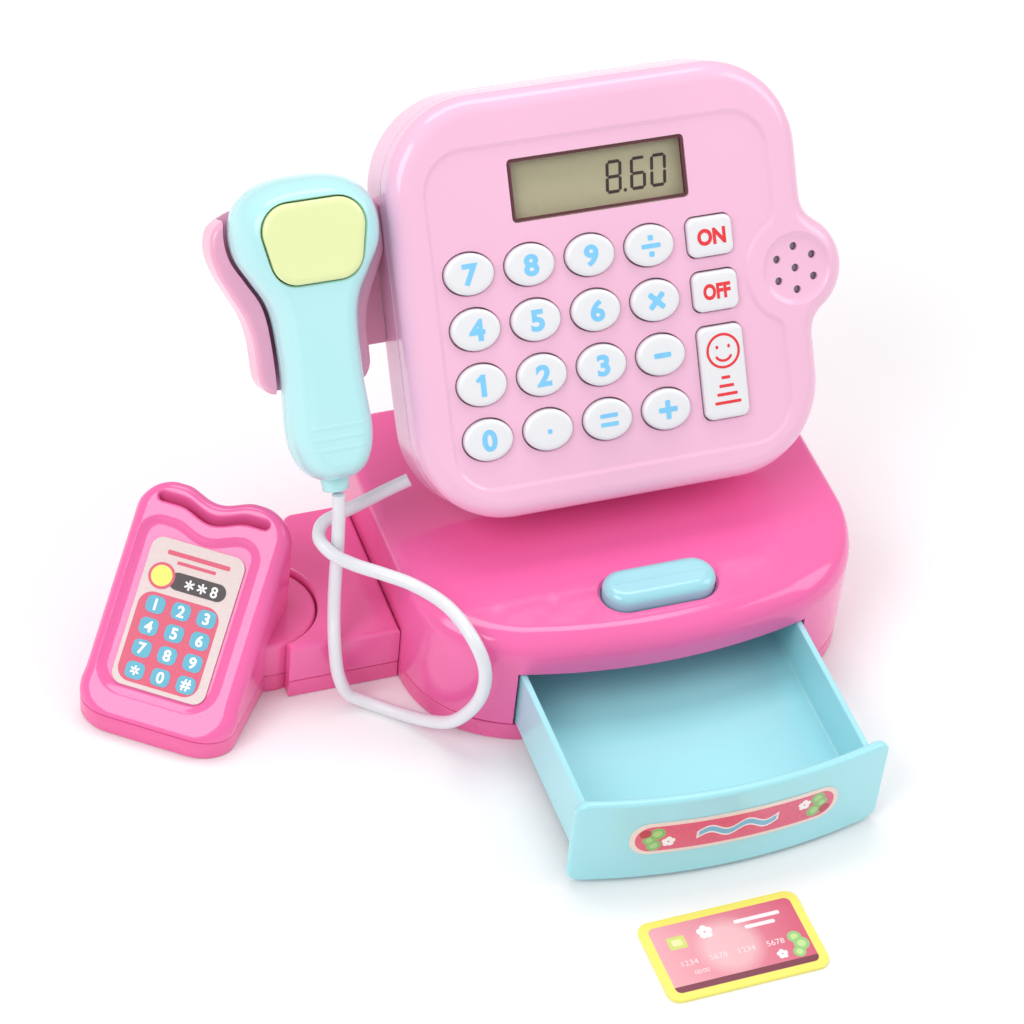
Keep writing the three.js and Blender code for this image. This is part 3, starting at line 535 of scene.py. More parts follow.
def block(x0, x1, y0, y1, z0, z1, place=None):
    outline = [Vector((x0, y0)), Vector((x1, y0)), Vector((x1, y1)), Vector((x0, y1))]
    return loft("block", [(outline, z0), (outline, z1)], place)


def rod(x, y, radius, z0, z1, place=None, count=40):
    circle = ellipse(radius, radius, x, y, count)
    return loft("rod", [(circle, z0), (circle, z1)], place)

# %% [markdown]
# ## Base
# The base is one deep moulding with a bowed front. Its rim is tight at the sides and back, and
# swells into a broad soft shoulder at the front, so each point of the outline has a fillet of
# its own. The doorway and the button's well are cut out of the finished skin.

# %% Base cover
BASE_SIDE, BASE_BACK, BASE_HEIGHT, SEAM, WALL = 75.5, 61.0, 43.5, 7.0, 2.4
BOW_RADIUS, BOW_NOSE, BOW_HALF = 198.0, -61.1, 48.0
FRONT_FILLET, SIDE_FILLET = 9.0, 3.5
GAP = 0.3
DRAWER_HALF, DRAWER_TOP = 47.9, 29.9
DOOR_HALF, DOOR_TOP = 48.9, 30.6
BUTTON_LENGTH, BUTTON_WIDTH, BUTTON_X, BUTTON_Y = 37.8, 15.0, 2.0, -41.0


def bow_y(x):
    return BOW_NOSE + BOW_RADIUS - math.sqrt(BOW_RADIUS ** 2 - x ** 2)


def base_outline():
    across = [-BOW_HALF + BOW_HALF * i / 12 for i in range(25)]
    points = [Vector((x, bow_y(x))) for x in across]
    ends = [Vector((BOW_HALF, bow_y(BOW_HALF))), Vector((62, -50.2)), Vector((BASE_SIDE, -40)),
            Vector((BASE_SIDE, -17))]
    sweep = []
    for k in range(1, 25):
        t = k / 24
        a, b, c = (ends[i].lerp(ends[i + 1], t) for i in range(3))
        sweep.append(a.lerp(b, t).lerp(b.lerp(c, t), t))
    points += sweep
    points += rounded([(BASE_SIDE, 0, 0), (BASE_SIDE, BASE_BACK, 15), (-BASE_SIDE, BASE_BACK, 15),
                       (-BASE_SIDE, 0, 0)], 16)
    points += [Vector((-p.x, p.y)) for p in reversed(sweep)]
    return even(points, 220)


def base_fillet(p):
    t = min(max((-p.y - 15) / 30, 0), 1)
    return SIDE_FILLET + (FRONT_FILLET - SIDE_FILLET) * t * t * (3 - 2 * t)


BASE_OUTLINE = base_outline()
fillets = [base_fillet(p) for p in BASE_OUTLINE]
lip = 0.5
rings = [(inset(BASE_OUTLINE, lip), SEAM + GAP), (BASE_OUTLINE, SEAM + GAP + lip)]
for k in range(11):
    t = math.pi / 2 * k / 10
    rings.append((inset(BASE_OUTLINE, [r * (1 - math.cos(t)) for r in fillets]),
                  [BASE_HEIGHT - r * (1 - math.sin(t)) for r in fillets]))
base_cover = loft("base_cover_skin", rings)
wall = inset(BASE_OUTLINE, WALL)
cut(base_cover, [(wall, 0), (wall, 36.5), (inset(BASE_OUTLINE, 8), 40.6)])
doorway = [Vector((x, z)) for x, z in ((-DOOR_HALF, 0), (DOOR_HALF, 0),
                                       (DOOR_HALF, DOOR_TOP), (-DOOR_HALF, DOOR_TOP))]
cut(base_cover, [(doorway, 0), (doorway, 24)], at(y=-46) @ Matrix.Rotation(math.pi / 2, 4, "X"))
well = rectangle(BUTTON_LENGTH + 0.8, BUTTON_WIDTH + 0.8, BUTTON_WIDTH / 2 + 0.3,
                 BUTTON_X, BUTTON_Y)
well_rim = inset(well, -1.0)
cut(base_cover, [(well, 30), (well, 42.6), (well_rim, 43.6), (well_rim, 50)])
finished(base_cover, HOT_PINK, "register", "base_cover")

# %% Base plate
SCREW_PLACES = [(-62, 46), (62, 46), (-61, -26), (61, -26)]
plate = loft("base_plate_skin", soft_rings(BASE_OUTLINE, 0.0, SEAM, top=0.5, bottom=1.0, steps=4))
hollow = loft("cutter", [(wall, 2.2), (wall, 20)])
boolean(hollow, joined(*[rod(x, y, 5.5, 0, 30) for x, y in SCREW_PLACES]))
boolean(plate, hollow)
boolean(plate, joined(*[rod(x, y, 4, -2, 2.6) for x, y in SCREW_PLACES]))
plate = joined(plate, *[block(x - 1.2, x + 1.2, -52, 56, 1.9, SEAM) for x in (-36, 36)])
finished(plate, HOT_PINK_SATIN, "register", "base_plate")

# %% [markdown]
# ## Release button
# A plump capsule that stands 4.7 mm proud of the base. Its top is flat and its rim is rounded:
# the rings draw in along a quarter of an ellipse.

# %% Release button
BUTTON_FOOT, BUTTON_SHOULDER, BUTTON_RISE, BUTTON_RIM = 38.5, 45.2, 3.0, 3.6
capsule = rectangle(BUTTON_LENGTH, BUTTON_WIDTH, BUTTON_WIDTH / 2 - 0.05, BUTTON_X, BUTTON_Y, 20)
button = loft("release_capsule", [(capsule, BUTTON_FOOT)]
              + domed_rings(capsule, BUTTON_SHOULDER, BUTTON_RISE, BUTTON_RIM, 12))
finished(button, BUTTON_MINT, "release_button", "release_button", crease=50)

# %% [markdown]
# ## Head
# Two shells meet at a seam. Both follow the same outline, a rounded square with an ear for the
# loudspeaker. They are drawn flat, in the head's own frame, and then laid back by its lean.

# %% Head outline and its frame
HEAD_CENTRE, HEAD_LEAN = Vector((0, 18.8, 117.4)) * MM, math.radians(33.7)
HEAD = Matrix.Translation(HEAD_CENTRE) @ Matrix.Rotation(math.pi / 2 - HEAD_LEAN, 4, "X")
HEAD_HALF, HEAD_HALF_HEIGHT, HEAD_CORNER = 68.2, 67.0, 30.0
HEAD_SEAM, HEAD_BACK, HEAD_WALL = -10.5, -29.5, 3.0
EAR_X, EAR_Y, EAR_RADIUS, EAR_FILLET = 63.2, -2.25, 17.0, 10.0


def arc(x, y, r, start, end, steps):
    return [Vector((x + r * math.cos(start + (end - start) * k / steps),
                    y + r * math.sin(start + (end - start) * k / steps))) for k in range(steps + 1)]


def head_outline(w, low, high, corner, ear_radius, fillet):
    """The face's outline: ear_radius is negative where the line passes inside the ear."""
    quarter = math.pi / 2
    if ear_radius > 0:
        rise = math.sqrt((ear_radius + fillet) ** 2 - (w + fillet - EAR_X) ** 2)
        bend = math.atan2(rise, w + fillet - EAR_X)
        ear = (arc(w + fillet, EAR_Y - rise, fillet, 2 * quarter, 2 * quarter - bend, 12)
               + arc(EAR_X, EAR_Y, ear_radius, -bend, bend, 40)
               + arc(w + fillet, EAR_Y + rise, fillet, 2 * quarter + bend, 2 * quarter, 12))
    else:
        r = -ear_radius
        rise = math.sqrt((r + fillet) ** 2 - (EAR_X - w + fillet) ** 2)
        bend = math.atan2(rise, EAR_X - w + fillet)
        ear = (arc(w - fillet, EAR_Y - rise, fillet, 0, 2 * quarter - (math.pi - bend), 12)
               + arc(EAR_X, EAR_Y, r, -math.pi + bend, -math.pi - bend, 40)
               + arc(w - fillet, EAR_Y + rise, fillet, -bend, 0, 12))
    return (arc(w - corner, low + corner, corner, -quarter, 0, 20) + ear
            + arc(w - corner, high - corner, corner, 0, quarter, 20)
            + arc(-w + corner, high - corner, corner, quarter, 2 * quarter, 20)
            + arc(-w + corner, low + corner, corner, 2 * quarter, 3 * quarter, 20))


HEAD_OUTLINE = even(head_outline(HEAD_HALF, -HEAD_HALF_HEIGHT, HEAD_HALF_HEIGHT, HEAD_CORNER,
                                 EAR_RADIUS, EAR_FILLET), 300)
PANEL_OUTLINE = even(head_outline(57.7, -57.0, 51.5, 14.0, -16.6, 5.0), 260)

# %% Head front shell
KEY_A, KEY_B, KEY_PROUD = 8.0, 6.55, 1.6
KEY_COLUMNS = [-45.8 + 20 * c for c in range(4)]
KEY_ROWS = [12.45 - 17.54 * r for r in range(4)]
SIDE_KEY_X = 34.7
ROUND_KEYS = [["7", "8", "9", "divide"], ["4", "5", "6", "times"], ["1", "2", "3", "minus"],
              ["0", "point", "equals", "plus"]]
WINDOW_Y, WINDOW_WIDTH, WINDOW_HEIGHT = 35.8, 59.0, 20.0

keys = {}
for row, names in zip(KEY_ROWS, ROUND_KEYS):
    for column, name in zip(KEY_COLUMNS, names):
        keys[f"key_{name}"] = ellipse(KEY_A, KEY_B, column, row)
keys["key_on"] = rectangle(15, 12.6, 2.6, SIDE_KEY_X, KEY_ROWS[0], 6)
keys["key_off"] = rectangle(15, 12.6, 2.6, SIDE_KEY_X, KEY_ROWS[1], 6)
keys["key_smile"] = rectangle(15, 30, 2.6, SIDE_KEY_X, (KEY_ROWS[2] + KEY_ROWS[3]) / 2, 6)

face = loft("head_front_shell",
            soft_rings(HEAD_OUTLINE, HEAD_SEAM, 0, top=6, bottom=0.5, steps=12), HEAD)
head_inside = inset(HEAD_OUTLINE, HEAD_WALL)
cut(face, [(head_inside, HEAD_SEAM - 5), (head_inside, -2.5)], HEAD)
PANEL_DEPTH = 0.7
cut(face, [(inset(PANEL_OUTLINE, 1.4), -PANEL_DEPTH), (inset(PANEL_OUTLINE, 0.9), -PANEL_DEPTH + 0.1),
           (inset(PANEL_OUTLINE, 0.3), -0.1), (inset(PANEL_OUTLINE, -0.4), 0.02),
           (inset(PANEL_OUTLINE, -0.4), 6)], HEAD)
opening = rectangle(WINDOW_WIDTH, WINDOW_HEIGHT, 1.5, 0, WINDOW_Y, 5)
holes = [loft("hole", [(opening, -8), (opening, 4)], HEAD)]
for outline in keys.values():
    hole = inset(outline, -0.35)
    rim = inset(hole, -0.35)
    holes.append(loft("hole", [(hole, -8), (hole, -1.1), (rim, -0.6), (rim, 4)], HEAD))
boolean(face, joined(*holes))
EAR_DISH = [(2, -1.25), (7, -1.2), (9.6, -1.05), (10.6, -0.8), (11.2, -0.4), (11.7, -0.05),
            (12.2, 0.06), (12.2, 4)]
cut(face, [(ellipse(r, r, EAR_X, EAR_Y, 96), z) for r, z in EAR_DISH], HEAD)

# %% [markdown]
# ## Small repeated things grow from node trees
# A loudspeaker's holes, a spring's coils, a screw and a keypad follow simple rules. A Geometry
# Nodes tree states each rule once, with its sizes as named inputs. The result is turned into a
# plain mesh at once, because the rest of the file cuts, joins and places plain meshes.

# %% Tree helpers
class Rule:
    """A Geometry Nodes tree under construction."""

    def __init__(self, name, **inputs):
        self.tree = bpy.data.node_groups.new(name, "GeometryNodeTree")
        self.names = {}
        for key, value in inputs.items():
            kind = "NodeSocketInt" if isinstance(value, int) else "NodeSocketFloat"
            item = self.tree.interface.new_socket(key, in_out="INPUT", socket_type=kind)
            item.default_value = value
            self.names[key] = item.identifier
        finish = self.tree.interface.new_socket("finish", in_out="INPUT",
                                                socket_type="NodeSocketMaterial")
        self.names["finish"] = finish.identifier
        self.tree.interface.new_socket("shape", in_out="OUTPUT", socket_type="NodeSocketGeometry")
        self.group_in = self.tree.nodes.new("NodeGroupInput")

    def __getitem__(self, name):
        return next(o for o in self.group_in.outputs if o.name == name)

    def node(self, kind, settings=None, out=0, **inputs):
        made = self.tree.nodes.new(kind)
        for key, value in (settings or {}).items():
            setattr(made, key, value)
        for key, value in inputs.items():
            socket = made.inputs[int(key[1:]) if key[0] == "_" else key.replace("_", " ")]
            for one in value if isinstance(value, list) else [value]:
                if isinstance(one, bpy.types.NodeSocket):
                    self.tree.links.new(one, socket)
                else:
                    socket.default_value = one
        return made.outputs[out]

    def math(self, operation, a, b):
        return self.node("ShaderNodeMath", {"operation": operation}, _0=a, _1=b)

    def vector(self, x=0.0, y=0.0, z=0.0):
        return self.node("ShaderNodeCombineXYZ", X=x, Y=y, Z=z)

    def end(self, geometry):
        real = self.node("GeometryNodeRealizeInstances", Geometry=geometry)
        made = self.node("GeometryNodeSetMaterial", Geometry=real, Material=self["finish"])
        out = self.tree.nodes.new("NodeGroupOutput")
        self.tree.links.new(made, out.inputs[0])
        return self


def grown(name, rule, place, finish=None, **sizes):
    """What the rule makes at these sizes, as a plain mesh put in its place."""
    thing = new_object(name, bpy.data.meshes.new(name))
    modifier = thing.modifiers.new("rule", "NODES")
    modifier.node_group = rule.tree
    for key, value in sizes.items():
        modifier[rule.names[key]] = value
    if finish:
        modifier[rule.names["finish"]] = finish
    apply_modifiers(thing)
    thing.data.transform(place)
    return thing

# %% Loudspeaker holes
grille = Rule("ring_of_holes", holes=6, ring=7 * MM, hole=1.3 * MM, depth=8 * MM)
circle = grille.node("GeometryNodeCurvePrimitiveCircle", Resolution=grille["holes"],
                     Radius=grille["ring"])
corners = grille.node("GeometryNodeCurveToPoints", {"mode": "EVALUATED"}, Curve=circle)
middle = grille.node("GeometryNodePoints", Count=1)
drill = grille.node("GeometryNodeMeshCylinder", Vertices=20, Radius=grille["hole"],
                    Depth=grille["depth"])
places = grille.node("GeometryNodeJoinGeometry", Geometry=[corners, middle])
grille.end(grille.node("GeometryNodeInstanceOnPoints", Points=places, Instance=drill))
ear = HEAD @ at(EAR_X, EAR_Y, -1) @ Matrix.Rotation(math.pi / 2, 4, "Z")
drills = grown("drills", grille, ear)
print("loudspeaker holes:", len(drills.data.vertices) // 40)
boolean(face, drills)
finished(face, PALE_PINK, "register", "head_front", crease=38)

# %% [markdown]
# ## Head back
# The back shell carries the battery box. Its hollow is cut with the box and the two screw posts
# left standing, which is how the mould makes it: the core has pockets where the posts are.

# %% Head back shell
BATTERY_Y = 24.3
HEAD_SCREWS = [(-59, -41), (59, -41)]
shell = loft("head_back_shell",
             soft_rings(HEAD_OUTLINE, HEAD_BACK, HEAD_SEAM - GAP, bottom=5, top=0.5, steps=8), HEAD)
core = loft("cutter", [(head_inside, HEAD_BACK + WALL), (head_inside, 0)], HEAD)
box_outline = rectangle(61.2, 36.6, 2, 0, BATTERY_Y, 3)
posts = [loft("post", [(box_outline, HEAD_BACK - 3), (box_outline, 3)], HEAD)]
posts += [rod(x, y, 4.5, HEAD_BACK - 3, 3, HEAD) for x, y in HEAD_SCREWS]
boolean(core, joined(*posts))
boolean(shell, core)
pocket = rectangle(58, 33.4, 1, 0, BATTERY_Y, 3)
cut(shell, [(pocket, HEAD_BACK - 5), (pocket, -12.5)], HEAD)
seat = rectangle(62, 38, 3, 0, BATTERY_Y, 6)
cut(shell, [(seat, HEAD_BACK - 5), (seat, HEAD_BACK + 2.3)], HEAD)
boolean(shell, joined(*[rod(x, y, 3.7, HEAD_BACK - 5, HEAD_BACK + 4, HEAD)
                        for x, y in HEAD_SCREWS]))
finished(shell, PALE_PINK, "register", "head_back", crease=38)

# %% Battery door
door_outline = rectangle(61.4, 37.4, 2.8, 0, BATTERY_Y, 8)
door = loft("battery_door_panel",
            soft_rings(door_outline, HEAD_BACK, HEAD_BACK + 2, bottom=0.5, top=0.2, steps=4), HEAD)
grooves = []
for k in range(5):
    groove = rectangle(18 - 2 * k, 0.9, 0.4, 0, BATTERY_Y + 13 - 2.2 * k, 3)
    grooves.append(loft("groove", [(groove, HEAD_BACK - 1), (groove, HEAD_BACK + 0.5)], HEAD))
grooves.append(rod(0, BATTERY_Y - 17.9, 1.2, HEAD_BACK - 4, HEAD_BACK + 5, HEAD))
boolean(door, joined(*grooves))
finished(door, PALE_PINK, "battery_door", "battery_door")

# %% [markdown]
# ## Display
# The display is a liquid crystal panel behind a clear window. The window's dark plum rim is
# painted shade, standing for the shaded walls of the deep opening, and the panel is painted darker
# towards its top, a painted shadow under the window's upper edge. The digits are seven-segment
# figures: each segment is a thin hexagon, slanted a little, and only the lit ones are made.

# %% A ruler inside a material
def ruler(finish, direction, origin):
    """How far each point lies along a direction from an origin, in millimetres."""
    offset = finish.node("ShaderNodeVectorMath", {"operation": "SUBTRACT"}, _0=finish.place(),
                         _1=tuple(origin))
    return finish.node("ShaderNodeVectorMath", {"operation": "DOT_PRODUCT"}, output=1, _0=offset,
                       _1=tuple(direction)) * 1000


HEAD_ACROSS, HEAD_UP = (Vector(HEAD.col[i][:3]) for i in range(2))


def soft_step(value, edge, width):
    """0 below the edge and 1 above it, with a ramp of that width between."""
    return ((value - edge) / width + 0.5).held()


# %% Display window and panel
window_finish = Finish("display_window_clear", IOR=1.49, Coat_Weight=0.3)
across = abs(ruler(window_finish, HEAD_ACROSS, HEAD_CENTRE))
up = abs(ruler(window_finish, HEAD_UP, HEAD_CENTRE) - WINDOW_Y)
# Painted shade: the window's rim is opaque dark plum, standing for the shaded walls of the deep opening
# round the panel.
painted_shade_rim = soft_step(across, 28.3, 0.15).math("MAXIMUM", soft_step(up, 8.9, 0.15))
window_finish.set("Alpha", 0.10 + painted_shade_rim * 0.88)
window_finish.set("Base Color", window_finish.mix(window_finish.noise(90), linear(88, 40, 52),
                                                  linear(104, 52, 62)))
window_finish.set("Roughness", 0.05 + window_finish.noise(60, 3) * 0.05)
pane_outline = rectangle(WINDOW_WIDTH - 0.6, WINDOW_HEIGHT - 0.6, 1.3, 0, WINDOW_Y, 6)
pane = loft("display_pane", soft_rings(pane_outline, -2.1, -0.9, top=0.2, steps=3), HEAD)
finished(pane, window_finish.material, "register", "display_window")

lcd_finish = Finish("liquid_crystal", Specular_IOR_Level=0.6)
lcd_grain = lcd_finish.noise(400, 3)
shade = ruler(lcd_finish, HEAD_UP, HEAD_CENTRE) - WINDOW_Y
# Painted shadow: the panel is painted darker towards its top, as if the window's upper edge shaded it.
painted_shadow_tone = lcd_finish.mix((shade / 20 + 0.5).held(), linear(226, 222, 184), linear(204, 200, 164))
lcd_finish.set("Base Color", lcd_finish.mix(lcd_grain * 0.25, painted_shadow_tone, linear(160, 158, 130)))
lcd_finish.set("Roughness", 0.28 + lcd_grain * 0.1)
glass_outline = rectangle(64, 25, 0.8, 0, WINDOW_Y, 4)
glass = loft("liquid_crystal_panel", soft_rings(glass_outline, -6.4, -3.9, top=0.2, steps=3), HEAD)
finished(glass, lcd_finish.material, "register", "lcd_panel")

# %% Seven-segment digits
SEGMENTS = {"8": "abcdefg", "6": "acdefg", "0": "abcdef"}


def segment(letter, x, y, width, height, bar):
    """One segment's corners, for a digit centred on x, y."""
    w, h, t = width / 2, height / 2, bar / 2
    level = {"a": h, "g": 0, "d": -h}
    if letter in level:
        points = [(-w + t, -t), (w - t, -t), (w - 0.3 * t, 0),
                  (w - t, t), (-w + t, t), (-w + 0.3 * t, 0)]
        points = [(px, py + level[letter]) for px, py in points]
    else:
        side = w if letter in "bc" else -w
        low, high = (0, h) if letter in "bf" else (-h, 0)
        points = [(-t, low + t), (0, low + 0.3 * t), (t, low + t),
                  (t, high - t), (0, high - 0.3 * t), (-t, high - t)]
        points = [(px + side, py) for px, py in points]
    return [Vector((x + px + 0.09 * py, y + py)) for px, py in points]


def printed(name, pieces, ink, body):
    """Prints that share an ink and a body, as one piece."""
    whole = joined(*pieces)
    whole.name = name
    return finished(whole, ink, body)


INK_LOW, INK_TOP = -3.86, -3.8
lit = []
for digit, x in (("8", 6.2), ("6", 14.4), ("0", 21.2)):
    for letter in SEGMENTS[digit]:
        outline = segment(letter, x, WINDOW_Y - 0.6, 4.3, 9.4, 1.0)
        lit.append(loft("segment", [(outline, INK_LOW), (outline, INK_TOP)], HEAD))
dot = rectangle(1.0, 1.0, 0.2, 9.6, WINDOW_Y - 5.3, 2)
lit.append(loft("segment", [(dot, INK_LOW), (dot, INK_TOP)], HEAD))
ink = Finish("lcd_ink")
ink.set("Base Color", ink.mix(ink.noise(300), linear(52, 48, 44), linear(66, 60, 54)))
ink.set("Roughness", 0.4 + ink.noise(500) * 0.1)
printed("display_digits", lit, ink.material, "register")

# %% [markdown]
# ## Keys
# Nineteen keys stand on one rubber mat. Each cap is drawn in towards a flat top along a quarter
# of an ellipse, and its legend is a thin print on top. Every key moves alone, so its cap and its
# legend both ride on that key's own body.

# %% Legends
def printed_ink(name, colour):
    finish = Finish(name, Coat_Weight=0.15)
    pale = tuple(min(1, c * 1.18 + 0.01) for c in colour[:3]) + (1.0,)
    finish.set("Base Color", finish.mix(finish.noise(260, 3), colour, pale))
    finish.set("Roughness", 0.32 + finish.noise(500) * 0.14)
    return finish.material


BLUE_INK = printed_ink("blue_print", linear(122, 198, 244))
RED_INK = printed_ink("red_print", linear(226, 46, 54))


def lettering(name, text, height, x, y, z, place, weight=0.0, squeeze=1.0):
    """Text as a thin mesh of that height in millimetres, centred on x, y."""
    font = bpy.data.curves.new(name, "FONT")
    font.body, font.size, font.extrude, font.offset = text, 1.0, 0.01, weight
    font.resolution_u = 5
    source = new_object(name, font)
    graph = bpy.context.evaluated_depsgraph_get()
    mesh = bpy.data.meshes.new_from_object(source.evaluated_get(graph))
    bpy.data.objects.remove(source)
    bpy.data.curves.remove(font)
    low = Vector([min(v.co[i] for v in mesh.vertices) for i in range(3)])
    high = Vector([max(v.co[i] for v in mesh.vertices) for i in range(3)])
    scale = height * MM / (high.y - low.y)
    middle = (low + high) / 2
    mesh.transform(at(x, y, z)
                   @ Matrix.Diagonal((scale * squeeze, scale, 0.08 * MM / (high.z - low.z), 1))
                   @ Matrix.Translation(-middle))
    mesh.transform(place)
    return new_object(name, mesh)


def print_slab(outline, z, place, thick=0.08):
    return loft("print", [(outline, z - thick / 2), (outline, z + thick / 2)], place)


def bar(width, height, x, y, z, place, turn=0.0):
    outline = rectangle(width, height, min(width, height) * 0.3, 0, 0, 4)
    c, s = math.cos(turn), math.sin(turn)
    turned = [Vector((x + p.x * c - p.y * s, y + p.x * s + p.y * c)) for p in outline]
    return print_slab(turned, z, place)


def smiling_face(x, y, radius, z, place):
    """A ring with two eyes and a curved mouth."""
    pieces, half, low, high = [], 0.42, z - 0.04, z + 0.04
    ring = [(x + radius * math.cos(t), y + radius * math.sin(t))
            for t in (2 * math.pi * k / 48 for k in range(49))]
    mouth = [(x + 0.55 * radius * math.cos(t), y - 0.05 * radius + 0.55 * radius * math.sin(t))
             for t in (math.pi * (1.15 + 0.7 * k / 14) for k in range(15))]
    for line in (ring, mouth):
        outer, inner = [], []
        for i, (px, py) in enumerate(line):
            ax, ay = line[max(i - 1, 0)]
            bx, by = line[min(i + 1, len(line) - 1)]
            if line is ring and i in (0, len(line) - 1):
                (ax, ay), (bx, by) = line[-2], line[1]
            normal = Vector((-(by - ay), bx - ax)).normalized() * half
            outer.append((px - normal.x, py - normal.y))
            inner.append((px + normal.x, py + normal.y))
        shape = bmesh.new()
        rows = [[shape.verts.new((px * MM, py * MM, h * MM)) for px, py in side]
                for side, h in ((outer, low), (inner, low), (inner, high), (outer, high))]
        for row, after in zip(rows, rows[1:] + rows[:1]):
            for i in range(len(row) - 1):
                shape.faces.new((row[i], row[i + 1], after[i + 1], after[i]))
        if line is not ring:
            for end in (0, -1):
                shape.faces.new([row[end] for row in rows])
        bmesh.ops.remove_doubles(shape, verts=shape.verts, dist=1e-7)
        bmesh.ops.recalc_face_normals(shape, faces=shape.faces)
        shape.transform(place)
        mesh = bpy.data.meshes.new("stroke")
        shape.to_mesh(mesh)
        shape.free()
        pieces.append(new_object("stroke", mesh))
    for side in (-1, 1):
        eye = ellipse(0.5, 0.6, x + side * 0.38 * radius, y + 0.25 * radius, 16)
        pieces.append(print_slab(eye, z, place))
    return pieces

# %% Key caps and their legends
LEGEND = KEY_PROUD + 0.01
MARKS = {  # the bars of each operator: width, height, x, y, turn
    "plus": [(6.4, 1.7, 0, 0, 0), (1.7, 6.2, 0, 0, 0)],
    "minus": [(5.8, 1.7, 0, 0, 0)],
    "equals": [(6.0, 1.4, 0, 1.4, 0), (6.0, 1.4, 0, -1.4, 0)],
    "times": [(6.8, 1.8, 0, 0, math.pi / 4), (6.8, 1.8, 0, 0, -math.pi / 4)],
    "divide": [(6.4, 1.5, 0, 0, 0), (1.8, 1.8, 0, 2.6, 0), (1.8, 1.8, 0, -2.6, 0)],
    "point": [(1.5, 1.5, 0, -0.4, 0)],
}
for row, names in zip(KEY_ROWS, ROUND_KEYS):
    for column, name in zip(KEY_COLUMNS, names):
        if name in MARKS:
            parts = [bar(w, h, column + x, row + y, LEGEND + 0.002 * i, HEAD, turn)
                     for i, (w, h, x, y, turn) in enumerate(MARKS[name])]
        else:
            parts = [lettering("legend", name, 7.0, column, row, LEGEND, HEAD, 0.042, 1.08)]
        if name == "1":  # the flag at its top
            parts.append(bar(2.9, 1.3, column - 0.9, row + 2.35, LEGEND + 0.002, HEAD,
                             math.radians(38)))
        printed(f"legend_{name}", parts, BLUE_INK, f"key_{name}")

parts = {}
for name, height, row, squeeze in (("on", 5.4, KEY_ROWS[0], 0.9), ("off", 5.2, KEY_ROWS[1], 0.8)):
    parts[name] = [lettering("legend", name.upper(), height, SIDE_KEY_X, row, LEGEND, HEAD, 0.045,
                             squeeze)]
smile_y = (KEY_ROWS[2] + KEY_ROWS[3]) / 2
parts["smile"] = smiling_face(SIDE_KEY_X, smile_y + 7.0, 5.3, LEGEND, HEAD)
for k, width in enumerate((3.0, 5.0, 7.0, 9.0)):
    parts["smile"].append(bar(width, 1.0, SIDE_KEY_X, smile_y - 1.6 - 2.7 * k, LEGEND, HEAD))
for name, pieces in parts.items():
    printed(f"legend_{name}", pieces, RED_INK, f"key_{name}")

for name, outline in keys.items():
    stem = inset(outline, 1)
    rings = [(stem, -4.4), (stem, -2.8), (outline, -2.8)] + domed_rings(outline, 0.35, 1.15, 1.5, 8)
    cap = loft(f"{name}_cap", [*rings, (inset(outline, 2.6), KEY_PROUD)], HEAD)
    finished(cap, KEY_WHITE, name, name, crease=45)

# %% [markdown]
# ## Neck
# Behind the head a wedge-shaped post carries it. Its side view is the profile, swept across the
# base with rounded edges, so the rings here stand on edge.

# %% Neck
SIDEWAYS = Matrix(((0, 0, 1, 0), (1, 0, 0, 0), (0, 1, 0, 0), (0, 0, 0, 1)))


def behind_head(v, w):
    y = 18.8 + v * math.sin(HEAD_LEAN) - w * math.cos(HEAD_LEAN)
    return y, 117.4 + v * math.cos(HEAD_LEAN) + w * math.sin(HEAD_LEAN)


back_plane = HEAD_BACK - GAP
low_y, low_z = behind_head(-60, back_plane)
top_y, top_z = behind_head(-8, back_plane)
neck_profile = rounded([(behind_head(-65.5, back_plane)[0], 43.8, 0), (58, 43.8, 0), (58, 74, 12),
                        (top_y + 4, top_z - 1, 4), (top_y, top_z, 0), (low_y, low_z, 0)], 10)
neck = loft("neck_post", soft_rings(neck_profile, -26, 26, top=3, bottom=3, steps=8), SIDEWAYS)
finished(neck, HOT_PINK, "register", "neck")

# %% [markdown]
# ## Drawer
# The tray is an open box with a bowed front. The front is lofted from end to end: each section
# is a rounded rectangle that follows the bow, and the sections shrink at the ends to round off
# the corners.

# %% Drawer
PANEL_NEAR = 58.3
PANEL_LOW, PANEL_TOP, PANEL_HALF = 1.4, 36.0, 51.5


def bowed(name, half, low, high, corner, near, thick, edge, columns=60):
    """A slab bent round the bow, with round corners and round edges."""
    loops = []
    for k in range(columns + 1):
        u = -1 + 2 * k / columns
        x = half * math.sin(u * math.pi / 2)
        past = max(abs(x) - half + corner, 0)
        shrink = corner - math.sqrt(max(corner ** 2 - past ** 2, 0))
        past = max(abs(x) - half + edge, 0)
        thin = edge - math.sqrt(max(edge ** 2 - past ** 2, 0))
        shrink = min(shrink, (high - low) / 2 - 0.2)
        thin = min(thin, thick / 2 - 0.02)
        e = max(min(edge, thick / 2 - thin - 0.01), 0.01)
        section = rectangle(thick - 2 * thin, high - low - 2 * shrink, e,
                            thick / 2, (low + high) / 2, 6)
        slope = x / math.sqrt(BOW_RADIUS ** 2 - x ** 2)
        loops.append([(x + p.x * slope, bow_y(x) - near - p.x, p.y) for p in section])
    return skin(name, loops)


